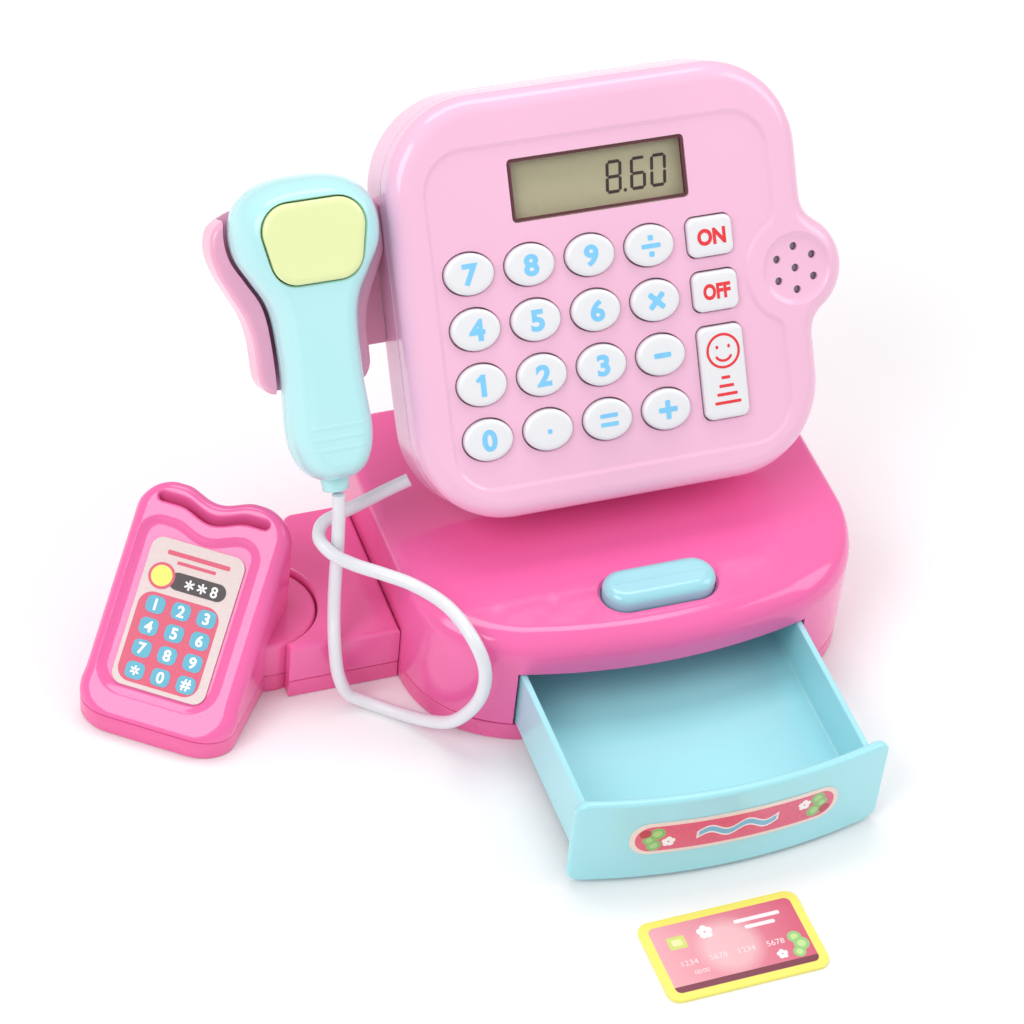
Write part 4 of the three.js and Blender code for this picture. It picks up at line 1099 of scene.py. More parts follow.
panel = bowed("drawer_panel", PANEL_HALF, PANEL_LOW, PANEL_TOP, 4.5, PANEL_NEAR, 3.2, 1.3)
tray_front = bow_y(DRAWER_HALF) - PANEL_NEAR
tray_back = tray_front + 97
outside = rectangle(2 * DRAWER_HALF, 200, 1.5, 0, tray_back - 100, 4)
tray = loft("drawer_tray", [(outside, 7.4), (outside, DRAWER_TOP)])
inside = rectangle(2 * DRAWER_HALF - 4, 200, 2.0, 0, tray_back - 102, 6)
cut(tray, [(inset(inside, 1.2), 11.9), (inset(inside, 0.35), 12.25), (inside, 13.1), (inside, 50)])
cut(tray, [(inside, 0), (inside, 9.9)])
front_cut = [Vector((x, bow_y(x) - PANEL_NEAR - 0.8)) for x in range(-60, 61, 4)]
front_cut = [Vector((60, -400)), *reversed(front_cut), Vector((-60, -400))]
cut(tray, [(front_cut, -5), (front_cut, 60)])
edge = tray.modifiers.new("edge", "BEVEL")
edge.width, edge.segments = 0.45 * MM, 3
edge.limit_method, edge.angle_limit = "ANGLE", math.radians(60)
apply_modifiers(tray)
tray = joined(tray, panel)
finished(tray, MINT, "drawer", "drawer")

# %% [markdown]
# ## Printed stickers
# A sticker's artwork is drawn by its material. Each shape in it is a distance: how far a point
# lies from a circle or a rounded box. A soft step on that distance becomes a mask, and colours
# are laid over each other through the masks, as a printer lays inks.

# %% Masks and inks
class Artwork(Finish):
    """A sheet of print, whose inks are laid one over another."""

    def begin(self, paint):
        self.paint = paint

    def lay(self, mask, ink):
        self.paint = self.mix(mask, self.paint, ink)


def ball(x, y, radius, at_x, at_y, soft=0.12):
    """1 inside a circle and 0 outside it."""
    away = ((x - at_x) * (x - at_x) + (y - at_y) * (y - at_y)).math("SQRT")
    return 1 - soft_step(away, radius, soft)


def rounded_box(x, y, half_x, half_y, radius, at_x=0.0, at_y=0.0, soft=0.12):
    """1 inside a rectangle with round corners and 0 outside it."""
    dx = (abs(x - at_x) - (half_x - radius)).math("MAXIMUM", 0.0)
    dy = (abs(y - at_y) - (half_y - radius)).math("MAXIMUM", 0.0)
    return 1 - soft_step((dx * dx + dy * dy).math("SQRT"), radius, soft)


def flower(x, y, at_x, at_y, size):
    """Five round petals."""
    mask = None
    for k in range(5):
        t = math.pi / 2 + 2 * math.pi * k / 5
        petal = ball(x, y, size * 0.42, at_x + size * 0.55 * math.cos(t),
                     at_y + size * 0.55 * math.sin(t))
        mask = petal if mask is None else mask.math("MAXIMUM", petal)
    return mask


# %% Drawer sticker
LABEL_MIDDLE = (PANEL_LOW + PANEL_TOP) / 2 + 1.2
art = Artwork("drawer_sticker_print", Coat_Weight=0.5, Coat_Roughness=0.12)
x = ruler(art, (1, 0, 0), (0, 0, 0))
y = ruler(art, (0, 0, 1), (0, 0, LABEL_MIDDLE * MM))
speckle = art.noise(900, 2)
art.begin(art.mix(speckle, linear(246, 226, 214), linear(238, 214, 206)))
field = art.mix(speckle, linear(222, 70, 108), linear(236, 104, 136))
art.lay(rounded_box(x, y, 33.0, 5.6, 5.4), field)
for side in (-1, 1):
    for at_x, at_y, radius in ((27.0, 3.0, 2.4), (28.6, 0.4, 2.1), (26.2, -2.2, 2.6)):
        art.lay(ball(x, y, radius, side * at_x, at_y * side), linear(132, 190, 108))
        art.lay(ball(x, y, radius * 0.55, side * at_x, at_y * side), linear(170, 212, 134))
    art.lay(flower(x, y, side * 22.4, 1.8 * side, 2.3), linear(252, 246, 246))
    art.lay(ball(x, y, 1.9, side * 30.0, -2.6 * side), linear(190, 44, 78))
wave = (x * 0.5).math("SINE") * 1.3
ribbon = (1 - soft_step(abs(y - wave), 1.7, 0.2)) * (1 - soft_step(abs(x), 13.5, 0.4))
core = (1 - soft_step(abs(y - wave), 1.1, 0.2)) * (1 - soft_step(abs(x), 12.9, 0.4))
art.lay(ribbon, linear(250, 240, 244))
art.lay(core, linear(120, 186, 216))
art.set("Base Color", art.paint)
art.set("Roughness", 0.3 + speckle * 0.1)
art.set("Normal", art.bump(art.noise(220, 3), 0.06, 0.0005))
sticker = bowed("drawer_sticker", 34.6, LABEL_MIDDLE - 7, LABEL_MIDDLE + 7, 6.7,
                PANEL_NEAR + 3.2 + 0.05, 0.4, 0.1, 90)
finished(sticker, art.material, "drawer", "drawer_label")

# %% [markdown]
# ## Scanner
# The scanner is a broad head on a slim handle. Both shells draw in along a quarter of an ellipse
# from the seam, and the trigger fills a hole in the front one. The grip rings near the tail are
# shallow, so a bump in the finish makes them.

# %% Scanner shells
SCANNER_X = -94.8
SCANNER = HEAD @ at(SCANNER_X)
SCANNER_HALF = [(0, 49.9), (9, 49.3), (16, 46.8), (21, 42), (23, 35), (22.3, 27), (18.2, 19),
                (14.6, 12.5), (13.1, 7), (12.4, -2), (12.3, -12), (12.9, -22), (13.2, -29),
                (12.2, -36), (9.5, -41.5), (5, -44.6), (0, -45)]
SCANNER_OUTLINE = symmetric(SCANNER_HALF, 168)
TRIGGER_OUTLINE = rounded([(-13.0, 18.3, 8), (13.0, 18.3, 8), (18.0, 43.4, 8.5), (-18.0, 43.4, 8.5)], 12)


front = loft("scanner_front_shell", [(inset(SCANNER_OUTLINE, 0.35), -6.85)]
             + domed_rings(SCANNER_OUTLINE, -6.5, 13.5, 6.8), SCANNER)
cut(front, [(inset(SCANNER_OUTLINE, 2.2), -12), (inset(SCANNER_OUTLINE, 2.4), 0),
            (inset(SCANNER_OUTLINE, 4.4), 4.2)], SCANNER)
hole = inset(TRIGGER_OUTLINE, -0.35)
rim = inset(hole, -0.5)
cut(front, [(hole, -2), (hole, 6.2), (rim, 6.9), (rim, 20)], SCANNER)
grip = Finish("scanner_grip", IOR=1.5, Coat_Weight=0.3, Coat_Roughness=0.08)
along = ruler(grip, HEAD_UP, HEAD_CENTRE)
ridge = 0.0
for ring_y in (-26.5, -30.0, -33.5):
    ridge = (1 - soft_step(abs(along - ring_y), 0.55, 0.7)) + ridge
sideways = abs(ruler(grip, HEAD_ACROSS, SCANNER.translation))
near = 1 - soft_step(sideways, 8.5, 1.5)
grip.set("Base Color", grip.mix(grip.noise(*MELT_FLOW), linear(180, 234, 238),
                                linear(192, 241, 244)))
grip.set("Roughness", 0.2 + (grip.noise(*HANDLING) - 0.5) * HANDLING_DULLS)
grip.set("Normal", grip.bump(ridge * near + grip.noise(*ORANGE_PEEL) * 0.03, 0.16, 0.001))
finished(front, grip.material, "scanner", "scanner_front", crease=45)

rings = [(inset(SCANNER_OUTLINE, 0.35), -7.15)] + domed_rings(SCANNER_OUTLINE, -7.5, -14.5, 7.4)
rear = loft("scanner_back_shell", list(reversed(rings)), SCANNER)
cut(rear, [(inset(SCANNER_OUTLINE, 4.8), -19.5), (inset(SCANNER_OUTLINE, 2.6), -14),
           (inset(SCANNER_OUTLINE, 2.2), 0)], SCANNER)
lens_hole = rectangle(24, 14, 3, 0, 33, 6)
cut(rear, [(lens_hole, -30), (lens_hole, -12)], SCANNER)
finished(rear, SCANNER_MINT, "scanner", "scanner_back", crease=45)

# %% Nozzle, lens and trigger
TAILWARDS = SCANNER @ at(z=-7) @ Matrix.Rotation(math.pi / 2, 4, "X")
NOZZLE = [(4.0, 38), (4.7, 41), (4.7, 44.5), (4.45, 46.5), (4.25, 48.2), (3.9, 48.8), (3.3, 49.0)]
nozzle = loft("cord_nozzle", [(ellipse(r, r, 0, 0, 48), z) for r, z in NOZZLE], TAILWARDS)
finished(nozzle, SCANNER_MINT, "scanner")
stem = inset(TRIGGER_OUTLINE, 0.8)
trigger = loft("trigger_button", [(stem, 1.5), (stem, 4.2), (TRIGGER_OUTLINE, 4.2)]
               + domed_rings(TRIGGER_OUTLINE, 6.9, 1.3, 2.2, 8), SCANNER)
finished(trigger, LIME, "scanner_trigger", "scanner_trigger")
red_glass = Finish("scanner_red_window", Coat_Weight=0.8, IOR=1.5)
red_glass.set("Base Color", red_glass.mix(red_glass.noise(60), linear(120, 10, 34),
                                          linear(150, 18, 44)))
red_glass.set("Roughness", 0.06 + red_glass.noise(80) * 0.05)
lens_outline = rectangle(23.4, 13.4, 2.7, 0, 33, 6)
lens = loft("scanner_window", soft_rings(lens_outline, -21.6, -19.8, bottom=0.5, steps=4), SCANNER)
finished(lens, red_glass.material, "scanner", "scanner_lens")

# %% [markdown]
# ## Cradle
# A trough on the head's side holds the scanner. The scanner's own outline, moved out a little,
# cuts the pocket, so that the scanner drops in with the same gap all round.

# %% Cradle
CRADLE_HALF = [(0, 41), (14, 41), (21, 39.5), (26.5, 36), (28.2, 30), (27, 23), (23.5, 15),
               (20, 7.5), (18.4, 0), (18.2, -8), (17.8, -13), (15.5, -16.6), (11, -17.5), (0, -17.5)]
CRADLE_OUTLINE = symmetric(CRADLE_HALF, 150)
CRADLE_BACK = -25.5
cradle = loft("scanner_cradle",
              soft_rings(CRADLE_OUTLINE, CRADLE_BACK, -13, top=1.8, bottom=1.5, steps=8), SCANNER)
head_side = -HEAD_HALF - GAP - SCANNER_X
plate_outline = rectangle(head_side - 17 + 4, 45, 3, (17 + head_side) / 2 + 2, 14.5, 6)
plate = loft("plate",
             soft_rings(plate_outline, CRADLE_BACK, -22.2, top=0.6, bottom=0.6, steps=4), SCANNER)
boolean(cradle, plate, "UNION")
fit = inset(SCANNER_OUTLINE, -0.7)
cut(cradle, [(fit, -22.6), (fit, 10)], SCANNER)
boolean(cradle, block(head_side, head_side + 40, -80, 80, -60, 20, place=SCANNER))
finished(cradle, CRADLE_PINK, "register", "cradle", crease=38)

# %% [markdown]
# ## Arm
# The arm joins the base to the card reader. Its end is hollowed to a circle about the swivel,
# and the reader's round lobe turns in it with a small, even gap.

# %% Arm
PIVOT = (-116.0, 3.0)
ARM_HEIGHT, ARM_FRONT, ARM_BACK = 22.0, -19.0, 41.0
ARM_TIP, ARM_BACK_END, ARM_CUT = -112.4, -97.5, 18.3
near_side = -BASE_SIDE - GAP
arm_outline = [Vector((near_side, ARM_FRONT)), Vector((near_side, ARM_BACK))]
arm_outline += rounded([(near_side, ARM_BACK, 0), (ARM_BACK_END, ARM_BACK, 4),
                        (PIVOT[0] + 12.3, PIVOT[1] + 13.6, 0)], 10)[1:-1]
arm_outline += arc(*PIVOT, ARM_CUT, math.radians(48),
                   -math.acos((ARM_TIP - PIVOT[0]) / ARM_CUT), 40)
arm_outline.append(Vector((ARM_TIP, ARM_FRONT)))
arm = loft("arm_shell",
           soft_rings(arm_outline, SEAM + GAP, ARM_HEIGHT, top=1.5, bottom=0.4, steps=8))
tongue_block = block(PIVOT[0], PIVOT[0] + ARM_CUT + 2, PIVOT[1] - 8, PIVOT[1] + 8, 11, 14)
tongue = boolean(tongue_block, rod(*PIVOT, 11, 11, 14), "UNION")
boolean(tongue, rod(*PIVOT, 4.4, 0, 30))
arm = joined(arm, tongue)
finished(arm, HOT_PINK, "register", "arm_cover", crease=38)
arm_foot = loft("arm_foot", soft_rings(arm_outline, 0, SEAM, top=0.4, bottom=0.8, steps=4))
finished(arm_foot, HOT_PINK_SATIN, "register", "arm_plate", crease=38)

# %% [markdown]
# ## Card reader
# A wedge with soft sides. Its sloping face is drawn as an outline with a finger dip in its top
# edge, its walls drop straight down from that edge, and a ball rolled along the edge rounds it.
# The sticker's dish and the card slot, which follows the dip, are cut in the face's own frame.

# %% Card reader
READER = at(-160.1, -28.9) @ Matrix.Rotation(math.radians(-37), 4, "Z")
TILT = math.radians(51)
FACE = READER @ at(z=SEAM) @ Matrix.Rotation(math.pi / 2 - TILT, 4, "X")
READER_LEFT, READER_RIGHT, FACE_TOP = -28.0, 24.0, 81.5
DIP_MIDDLE, DIP_HALF = -2.0, 12.0
LOBE_RADIUS, LOBE_TOP = 17.8, 20.5
pivot = READER.inverted() @ Vector((PIVOT[0] * MM, PIVOT[1] * MM, 0)) / MM


def on_face(b):
    return b * math.sin(TILT), SEAM + b * math.cos(TILT)


def dip(a):
    a -= DIP_MIDDLE
    return 1.6 * (1 + math.cos(math.pi * a / DIP_HALF)) if abs(a) < DIP_HALF else 0.0


def reader_block(z0, z1):
    return block(-90, 90, -60, 160, z0, z1, place=READER)


def lobe(radius, z0, z1, top):
    circle = ellipse(radius, radius, pivot.x, pivot.y, 96)
    return loft("lobe", soft_rings(circle, z0, z1, top=top, steps=6), READER)


def wavy(left, right, low, high, low_radius, high_radius):
    """A rounded oblong on the sloping face, with the finger dip in its top edge."""
    line = arc(left + low_radius, low + low_radius, low_radius, math.pi, 1.5 * math.pi, 16)
    line += arc(right - low_radius, low + low_radius, low_radius, 1.5 * math.pi, 2 * math.pi, 16)
    line += arc(right - high_radius, high - high_radius, high_radius, 0, math.pi / 2, 16)
    across = [DIP_MIDDLE + 11.5 - 23 * i / 40 for i in range(41)]
    line += [Vector((a, high - dip(a))) for a in across]
    line += arc(left + high_radius, high - high_radius, high_radius, math.pi / 2, math.pi, 16)
    return even(line, 240)


def face_edge():
    return wavy(READER_LEFT, READER_RIGHT, 0.64, FACE_TOP, 13, 12)


def reader_solid(name):
    """Upright walls under a sloping face. A ball rolled along their meeting line rounds it."""
    edge = [Vector((p.x, *on_face(p.y))) for p in face_edge()]
    normal = Vector((0, -math.cos(TILT), math.sin(TILT)))
    count = len(edge)
    plan = [Vector((p.x, p.y)) for p in edge]
    loops = [[(p.x, p.y, z) for p in inset(plan, d)]
             for d, z in ((1.0, 0.0), (0.3, 0.3), (0.0, 1.0))]
    arcs = [[] for _ in range(13)]
    for i, point in enumerate(edge):
        tangent = edge[(i + 1) % count] - edge[i - 1]
        side = Vector((tangent.y, -tangent.x, 0)).normalized()
        meet = side.dot(normal)
        radius = 4.6 + (1.4 if meet > 0 else 3.18) * meet
        centre = point - (side + normal) * (radius / (1 + meet))
        for k, ring in enumerate(arcs):
            ring.append(tuple(centre + side.slerp(normal, k / 12) * radius))
    return skin(name, loops + arcs, READER)


def turning_room(name, floor):
    """The hollow inside the reader, where the arm's tongue swings."""
    plan = inset([Vector((p.x, on_face(p.y)[0])) for p in face_edge()], WALL)
    hollow = loft(name, [(plan, floor), (plan, 19)], READER)
    boolean(hollow, block(-60, 60, -20, 26, -60, 60, place=READER))
    return boolean(hollow, lobe(15.6, floor, 18.3, 0.5), "UNION")


reader = reader_solid("reader_shell")
boolean(reader, lobe(LOBE_RADIUS, 0, LOBE_TOP, 1.2), "UNION")
boolean(reader, reader_block(-40, SEAM + GAP))
boolean(reader, turning_room("cutter", -14))
seat = wavy(-24.2, 16.8, 8.8, 67, 10, 7)
DISH = ((3.7, -1.6), (2.6, -1.48), (1.5, -1.0), (0.6, -0.4), (0.0, -0.08), (-0.8, 0.03), (-0.8, 6))
cut(reader, [(inset(seat, inwards), depth) for inwards, depth in DISH], FACE)
SLOT_LEFT, SLOT_RIGHT, SLOT_B, SLOT_HALF = -19.7, 14.7, 72.9, 1.5
steps = [SLOT_LEFT + 0.7 + (SLOT_RIGHT - SLOT_LEFT - 1.4) * i / 48 for i in range(49)]
slot = arc(SLOT_RIGHT, SLOT_B, SLOT_HALF, -math.pi / 2, math.pi / 2, 8)
slot += [Vector((a, SLOT_B + SLOT_HALF - dip(a))) for a in reversed(steps)]
slot += arc(SLOT_LEFT, SLOT_B, SLOT_HALF, math.pi / 2, 1.5 * math.pi, 8)
slot += [Vector((a, SLOT_B - SLOT_HALF - dip(a))) for a in steps]
pocket_depth = 12.0
slot_floor = [Vector((p.x, p.y - (pocket_depth - 0.7) / math.tan(TILT))) for p in slot]
cut(reader, [(slot_floor, -pocket_depth), (slot, -0.7), (inset(slot, -0.25), -0.3),
             (inset(slot, -0.7), 0.02), (inset(slot, -0.7), 6)], FACE)
window = [Vector((pivot.x, pivot.y))]
for k in range(25):
    t = math.radians(-40 + 96 * k / 24 + 37)
    window.append(Vector((pivot.x + 24 * math.cos(t), pivot.y + 24 * math.sin(t))))
cut(reader, [(window, 10.6), (window, 14.4)], READER)
boolean(reader, rod(pivot.x, pivot.y, 11.5, 10.6, 14.4, READER))
finished(reader, HOT_PINK, "card_reader", "reader_cover", crease=34)

# %% Card reader foot
foot = reader_solid("reader_foot")
boolean(foot, lobe(LOBE_RADIUS, 0, LOBE_TOP, 1.2), "UNION")
boolean(foot, reader_block(SEAM, 90))
boolean(foot, turning_room("cutter", 2.2))
foot = joined(foot, rod(pivot.x, pivot.y, 4, 1.5, 17.8, READER))
finished(foot, HOT_PINK_SATIN, "card_reader", "reader_plate", crease=34)

# %% [markdown]
# ## Keypad sticker
# The reader's keys are printed on a sticker, so they don't move. It is built as a print is: a
# pale backing, a crimson pad, then one colour at a time. The twelve blue keys come from one rule,
# a grid of points that each carry the same rounded tile.

# %% Sticker backing and pad
backing = Finish("sticker_paper", Coat_Weight=0.45, Coat_Roughness=0.1)
fibre = backing.noise(1300, 3)
backing.speckled(fibre, linear(226, 206, 203), linear(209, 187, 186), 0.32, 0.1)
backing.set("Normal", backing.bump(backing.noise(240, 3), 0.08, 0.0005))
LABEL_A, LABEL_B = -3.0, 36.4
LABEL_TOP = -0.9
card_outline = rectangle(31.5, 48.5, 4, LABEL_A, LABEL_B, 10)
sheet = loft("reader_sticker", soft_rings(card_outline, -1.3, LABEL_TOP, top=0.1, steps=2), FACE)
finished(sheet, backing.material, "card_reader", "reader_label")

CRIMSON = Finish("crimson_print", Coat_Weight=0.4)
dots = CRIMSON.noise(1500, 2)
CRIMSON.speckled(dots, linear(204, 22, 76), linear(224, 58, 106), 0.34, 0.1)
TEAL = printed_ink("teal_print", linear(72, 166, 194))
DARK = printed_ink("dark_print", linear(40, 8, 18))
YELLOW = printed_ink("yellow_print", linear(244, 226, 96))
WHITE_INK = printed_ink("white_print", linear(246, 246, 246))

FIRST = LABEL_TOP + 0.02
pad_outline = rectangle(27.1, 29.4, 4.6, LABEL_A - 0.8, 28.3, 10)
printed("keypad_field", [print_slab(pad_outline, FIRST, FACE)], CRIMSON.material, "card_reader")

# %% Keypad tiles
TILE_PITCH_X, TILE_PITCH_Y, TILE_Y = 8.6, 7.25, 28.3
tiles = Rule("keypad", columns=3, rows=4, pitch_x=TILE_PITCH_X * MM, pitch_y=TILE_PITCH_Y * MM,
             width=6.2 * MM, height=5.5 * MM, corner=1.9 * MM, thick=0.12 * MM)
span_x = tiles.math("MULTIPLY", tiles["pitch_x"], tiles.math("SUBTRACT", tiles["columns"], 1.0))
span_y = tiles.math("MULTIPLY", tiles["pitch_y"], tiles.math("SUBTRACT", tiles["rows"], 1.0))
grid = tiles.node("GeometryNodeMeshGrid", Size_X=span_x, Size_Y=span_y, Vertices_X=tiles["columns"],
                  Vertices_Y=tiles["rows"])
oblong = tiles.node("GeometryNodeCurvePrimitiveQuadrilateral", Width=tiles["width"],
                    Height=tiles["height"])
soft = tiles.node("GeometryNodeFilletCurve", {"mode": "POLY"}, Curve=oblong, Count=8,
                  Radius=tiles["corner"])
flat = tiles.node("GeometryNodeFillCurve", {"mode": "NGONS"}, Curve=soft)
raised = tiles.node("GeometryNodeExtrudeMesh", Mesh=flat, Offset_Scale=tiles["thick"])
lower = tiles.node("GeometryNodeFlipFaces", Mesh=flat)
both = tiles.node("GeometryNodeJoinGeometry", Geometry=[raised, lower])
tile = tiles.node("GeometryNodeMergeByDistance", Geometry=both, Distance=0.00001)
tiles.end(tiles.node("GeometryNodeInstanceOnPoints", Points=grid, Instance=tile))
keypad = grown("keypad_tiles", tiles, FACE @ at(LABEL_A, TILE_Y, FIRST + 0.02), TEAL)
print("keypad tiles:", len(keypad.data.polygons), "faces")
finished(keypad, TEAL, "card_reader")

# %% Keypad figures, readout and badge
def star(x, y, height, z):
    """Three crossed strokes."""
    return [bar(height, 0.6, x, y, z, FACE, math.radians(turn)) for turn in (90, 30, -30)]


figures = []
for r, line in enumerate(("123", "456", "789", "*0#")):
    for c, mark in enumerate(line):
        x, y = LABEL_A + (c - 1) * TILE_PITCH_X, TILE_Y + (1.5 - r) * TILE_PITCH_Y
        if mark == "*":
            figures += star(x, y, 3.2, FIRST + 0.17)
        else:
            figures.append(lettering("figure", mark, 3.8, x, y, FIRST + 0.17, FACE, 0.03))
readout = print_slab(rectangle(19.0, 5.7, 2.8, -0.25, 48.1, 10), FIRST + 0.05, FACE)
stars = star(-2.9, 47.9, 3.4, FIRST + 0.12) + star(1.3, 47.9, 3.4, FIRST + 0.12)
stars.append(lettering("stars", "8", 3.6, 5.4, 47.9, FIRST + 0.12, FACE, 0.02))
badge_rim = print_slab(ellipse(4.4, 4.3, -12.5, 48.5, 40), FIRST + 0.09, FACE)
badge = print_slab(ellipse(3.5, 3.4, -12.5, 48.5, 40), FIRST + 0.15, FACE)
heading = [bar(21, 1.5, -2.4, 56.4, FIRST, FACE), bar(13, 1.1, -2.4, 53.8, FIRST, FACE)]
for name, pieces, ink in (("keypad_figures", figures, WHITE_INK),
                          ("keypad_readout", [readout], DARK),
                          ("keypad_readout_figures", stars, WHITE_INK),
                          ("keypad_badge_rim", [badge_rim], CRIMSON.material),
                          ("keypad_badge", [badge], YELLOW),
                          ("sticker_heading_lines", heading, CRIMSON.material)):
    printed(name, pieces, ink, "card_reader")

# %% [markdown]
# ## Payment card
# The card is printed edge to edge under a yellow border. Its chip and its flowers are masks on
# the one card, laid over each other by distance as on the stickers. Its embossed figures are thin
# printed letters on top.

# %% Payment card
CARD = at(-10.8, -152.6) @ Matrix.Rotation(math.radians(1), 4, "Z")
CARD_TOP = 1.2
face_art = Artwork("payment_card_print", Coat_Weight=0.6, Coat_Roughness=0.1)
origin = CARD.translation
x = ruler(face_art, CARD.col[0][:3], origin)
y = ruler(face_art, CARD.col[1][:3], origin)
grain = face_art.noise(1100, 2)
face_art.begin(face_art.mix(grain, linear(250, 242, 110), linear(242, 230, 96)))
drift = ((x + 24) / 48).held()
field = face_art.mix(drift, linear(240, 168, 178), linear(216, 84, 116))
field = face_art.mix(ball(x, y, 9.5, -1.0, 0.0, 5.0) * 0.45, field, linear(250, 226, 226))
face_art.lay(rounded_box(x, y, 23.6, 12.8, 2.0), field)
strip = rounded_box(x, y, 23.6, 12.8, 2.0) * (1 - soft_step(y, -10.4, 0.15))
face_art.lay(strip, linear(122, 34, 58))
face_art.lay(rounded_box(x, y, 2.9, 2.4, 0.7, -16.4, 5.6), linear(214, 220, 110))
face_art.lay(rounded_box(x, y, 1.6, 1.2, 0.4, -16.4, 5.6), linear(238, 240, 170))
face_art.lay(flower(x, y, -6.6, 7.2, 2.7), linear(253, 240, 242))
face_art.lay(flower(x, y, 13.2, -7.4, 1.9), linear(253, 240, 242))
for at_x, at_y, radius in ((19.2, -2.2, 2.2), (20.4, -5.2, 2.5), (18.6, -8.0, 2.0)):
    face_art.lay(ball(x, y, radius, at_x, at_y), linear(150, 204, 120))
    face_art.lay(ball(x, y, radius * 0.55, at_x, at_y), linear(196, 226, 150))
for line_y, half in ((8.2, 7.6), (5.4, 5.0)):
    face_art.lay(rounded_box(x, y, half, 0.7, 0.6, 11.0, line_y), linear(252, 236, 240))
face_art.set("Base Color", face_art.paint)
face_art.set("Roughness", 0.3 + grain * 0.1)
face_art.set("Normal", face_art.bump(face_art.noise(160, 2), 0.05, 0.0005))
card_outline = rectangle(53, 31, 4, 0, 0, 12)
card = loft("payment_card_blank",
            soft_rings(card_outline, 0, CARD_TOP, top=0.25, bottom=0.25, steps=4), CARD)
finished(card, face_art.material, "payment_card", "payment_card")
FIGURES_Z = CARD_TOP + 0.03
embossed = [lettering("embossed", group, 2.0, -15.4 + 9.4 * i, -2.6, FIGURES_Z, CARD, 0.0, 1.05)
            for i, group in enumerate(("1234", "5678", "1234", "5678"))]
embossed.append(lettering("embossed", "00/00", 1.5, -13.0, -6.6, FIGURES_Z, CARD))
SILVER_INK = printed_ink("silver_print", linear(252, 216, 222))
printed("card_figures", embossed, SILVER_INK, "payment_card")

# %% [markdown]
# ## Screws and springs
# A self-tapping screw is a head with a cross recess on a threaded shank. A spring is a spiral
# with a round wire. Each is one rule, and each copy is grown at its own size.

# %% Screws
screw = Rule("cross_head_screw", head=3.4 * MM, head_height=2.0 * MM, shank=1.4 * MM,
             length=14.5 * MM, recess=2.4 * MM, slot=0.7 * MM)
head_cap = screw.node("GeometryNodeMeshCone", {"fill_type": "NGON"}, Vertices=40, Side_Segments=1,
                      Fill_Segments=1, Radius_Top=screw["head"],
                      Radius_Bottom=screw.math("MULTIPLY", screw["head"], 0.86),
                      Depth=screw["head_height"])
arm_a, arm_b = (screw.node("GeometryNodeMeshCube", Size=screw.vector(a, b, screw["head_height"]))
                for a, b in ((screw["recess"], screw["slot"]), (screw["slot"], screw["recess"])))
cross = screw.node("GeometryNodeMeshBoolean", {"operation": "UNION", "solver": "EXACT"},
                   Mesh_2=[arm_a, arm_b])
sunk = screw.vector(z=screw.math("MULTIPLY", screw["head_height"], -0.5))
cross = screw.node("GeometryNodeTransform", Geometry=cross, Translation=sunk)
driven = screw.node("GeometryNodeMeshBoolean", {"operation": "DIFFERENCE", "solver": "EXACT"},
                    Mesh_1=head_cap, Mesh_2=cross)
rounds = screw.math("DIVIDE", screw["length"], 1.1 * MM)
core_line = screw.node("GeometryNodeMeshCone", {"fill_type": "NGON"}, Vertices=20,
                       Side_Segments=1, Fill_Segments=1,
                       Radius_Top=screw.math("MULTIPLY", screw["shank"], 0.25),
                       Radius_Bottom=screw.math("MULTIPLY", screw["shank"], 0.8), Depth=screw["length"])
thread_line = screw.node("GeometryNodeCurveSpiral", Resolution=14, Rotations=rounds,
                         Start_Radius=screw.math("MULTIPLY", screw["shank"], 0.8),
                         End_Radius=screw.math("MULTIPLY", screw["shank"], 0.4), Height=screw["length"])
wire = screw.node("GeometryNodeCurvePrimitiveCircle", Resolution=5, Radius=0.22 * MM)
thread = screw.node("GeometryNodeCurveToMesh", Curve=thread_line, Profile_Curve=wire,
                    Fill_Caps=True)
screw.end(screw.node("GeometryNodeJoinGeometry", Geometry=[driven, core_line, thread]))

STEEL = Finish("zinc_plated_steel", Metallic=1.0, IOR=1.5)
brushed = STEEL.noise(900.0, 4.0)
STEEL.speckled(brushed, linear(186, 190, 196), linear(214, 216, 220), 0.24, 0.16)
STEEL.set("Normal", STEEL.bump(brushed, 0.08, 0.0004))


def drive(node, places, z, frame_of=Matrix(), **sizes):
    """Grows a screw at each place, for the nodes with that name and a number."""
    for i, (x, y) in enumerate(places):
        thing = grown(f"{node}_{i + 1}_cross_head", screw, frame_of @ at(x, y, z),
                      STEEL.material, **sizes)
        finished(thing, STEEL.material, "register", f"{node}_{i + 1}")


drive("base_screw", SCREW_PLACES, 1.4)
drive("head_screw", HEAD_SCREWS, HEAD_BACK + 2.5, HEAD, head=3.1 * MM, length=18 * MM)

# %% Springs
coil = Rule("coil_spring", radius=5.0 * MM, wire=0.5 * MM, turns=13.0, length=70 * MM)
helix = coil.node("GeometryNodeCurveSpiral", Resolution=24, Rotations=coil["turns"],
                  Start_Radius=coil["radius"], End_Radius=coil["radius"], Height=coil["length"])
section = coil.node("GeometryNodeCurvePrimitiveCircle", Resolution=8, Radius=coil["wire"])
coil.end(coil.node("GeometryNodeCurveToMesh", Curve=helix, Profile_Curve=section, Fill_Caps=True))
low, high = (Vector(c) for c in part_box("drawer_spring"))
lengthwise = Matrix.Translation((0, low.y + 0.0005, 0.019)) @ Matrix.Rotation(-math.pi / 2, 4, "X")
pusher = grown("drawer_spring_coil", coil, lengthwise, STEEL.material,
               length=high.y - low.y - 0.001, radius=5.0 * MM)
finished(pusher, STEEL.material, "register", "drawer_spring")
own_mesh(pusher)
low, high = (Vector(c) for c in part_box("latch_spring"))
upright = Matrix.Translation((0, 0.036, low.z + 0.0004))
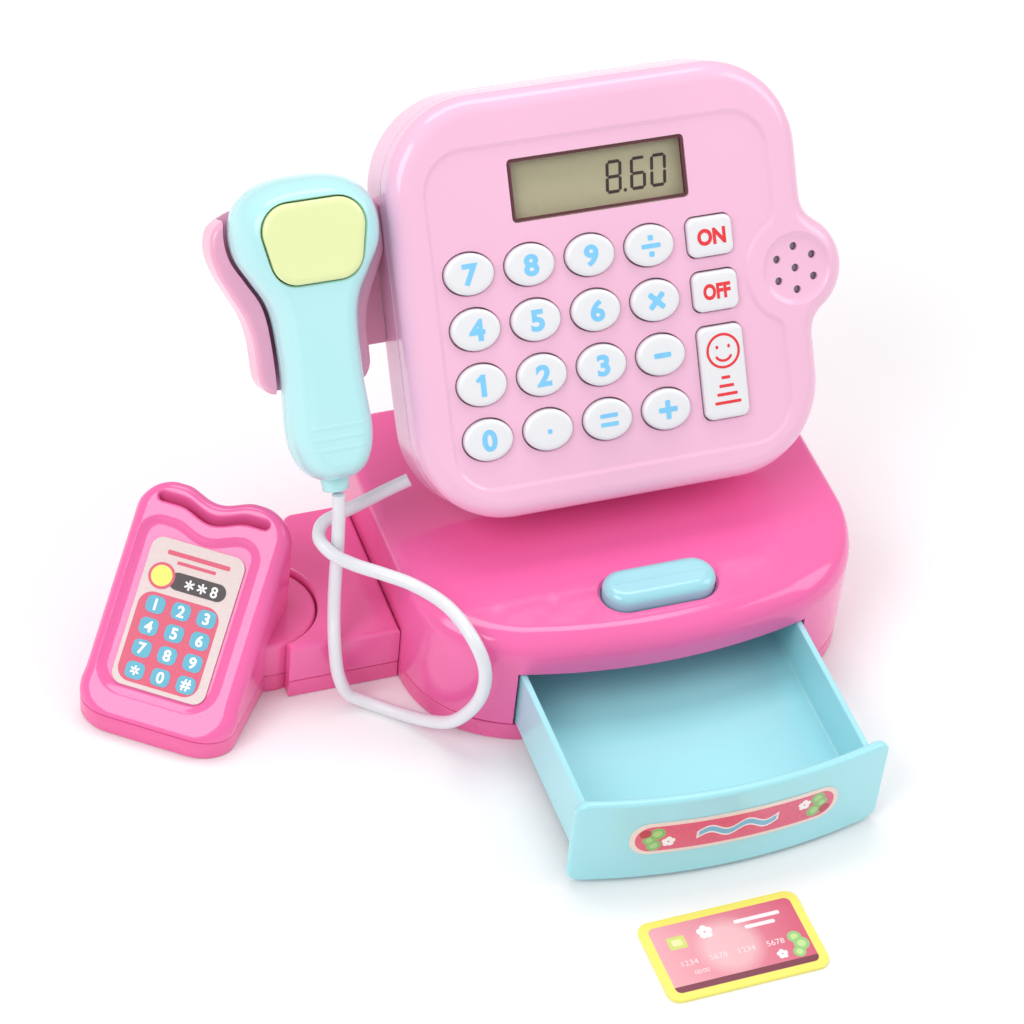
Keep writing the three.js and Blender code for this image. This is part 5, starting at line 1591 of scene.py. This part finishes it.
lifter = grown("latch_spring_coil", coil, upright, STEEL.material,
               length=high.z - low.z - 0.0008, radius=2.6 * MM, wire=0.35 * MM, turns=4.0)
finished(lifter, STEEL.material, "register", "latch_spring")
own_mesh(lifter)

# %% [markdown]
# ## Inside parts
# The pieces inside keep the shapes that they were packed with. Each still gets its own finish:
# green solder mask with copper tracks, grey rubber, a foil jacket with printed bands.

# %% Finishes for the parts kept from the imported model
def dress(names, material):
    for name in names:
        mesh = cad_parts[name].data
        mesh.materials.clear()
        mesh.materials.append(material)


board = Finish("solder_mask", Coat_Weight=0.5, Coat_Roughness=0.15)
tracks = board.node("ShaderNodeTexBrick", {"offset": 0.5}, Vector=board.place(), Scale=240.0,
                    _1=linear(34, 120, 70), _2=linear(40, 132, 78), _3=linear(66, 160, 98))
board.set("Base Color", board.mix(board.noise(50, 3) * 0.4, tracks, linear(24, 96, 58)))
board.set("Roughness", 0.35 + board.noise(300) * 0.1)
dress(["circuit_board", "scanner_board"], board.material)

rubber = Finish("key_mat_silicone", Subsurface_Weight=0.1, Subsurface_Scale=0.003)
bloom = rubber.noise(220, 4)
rubber.speckled(bloom, linear(208, 208, 212), linear(224, 224, 228), 0.55, 0.2)
rubber.set("Normal", rubber.bump(bloom, 0.15, 0.0005))
dress(["key_mat"], rubber.material)

cone = Finish("loudspeaker_metal", Metallic=0.85)
scuff = cone.noise(500, 4)
cone.speckled(scuff, linear(140, 142, 148), linear(176, 178, 184), 0.3, 0.2)
dress(["speaker"], cone.material)

jacket = Finish("battery_foil", Metallic=0.6, Coat_Weight=0.6)
lengthways = abs(ruler(jacket, (1, 0, 0), (0, 0, 0)))
band = soft_step(lengthways, 17.5, 0.3)
foil = jacket.noise(180, 4)
dark_foil = jacket.mix(foil, linear(60, 64, 74), linear(74, 78, 90))
jacket.set("Base Color", jacket.mix(band, dark_foil, linear(214, 176, 84)))
jacket.set("Roughness", 0.28 + foil * 0.12)
dress(["battery_1", "battery_2"], jacket.material)

lever = moulded("latch_acetal", linear(232, 230, 224), 0.38, drift=0.03)
dress(["latch_lever"], lever)
kept = [name for name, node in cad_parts.items() if not node.hide_render]
print("kept from the packed model:", kept)
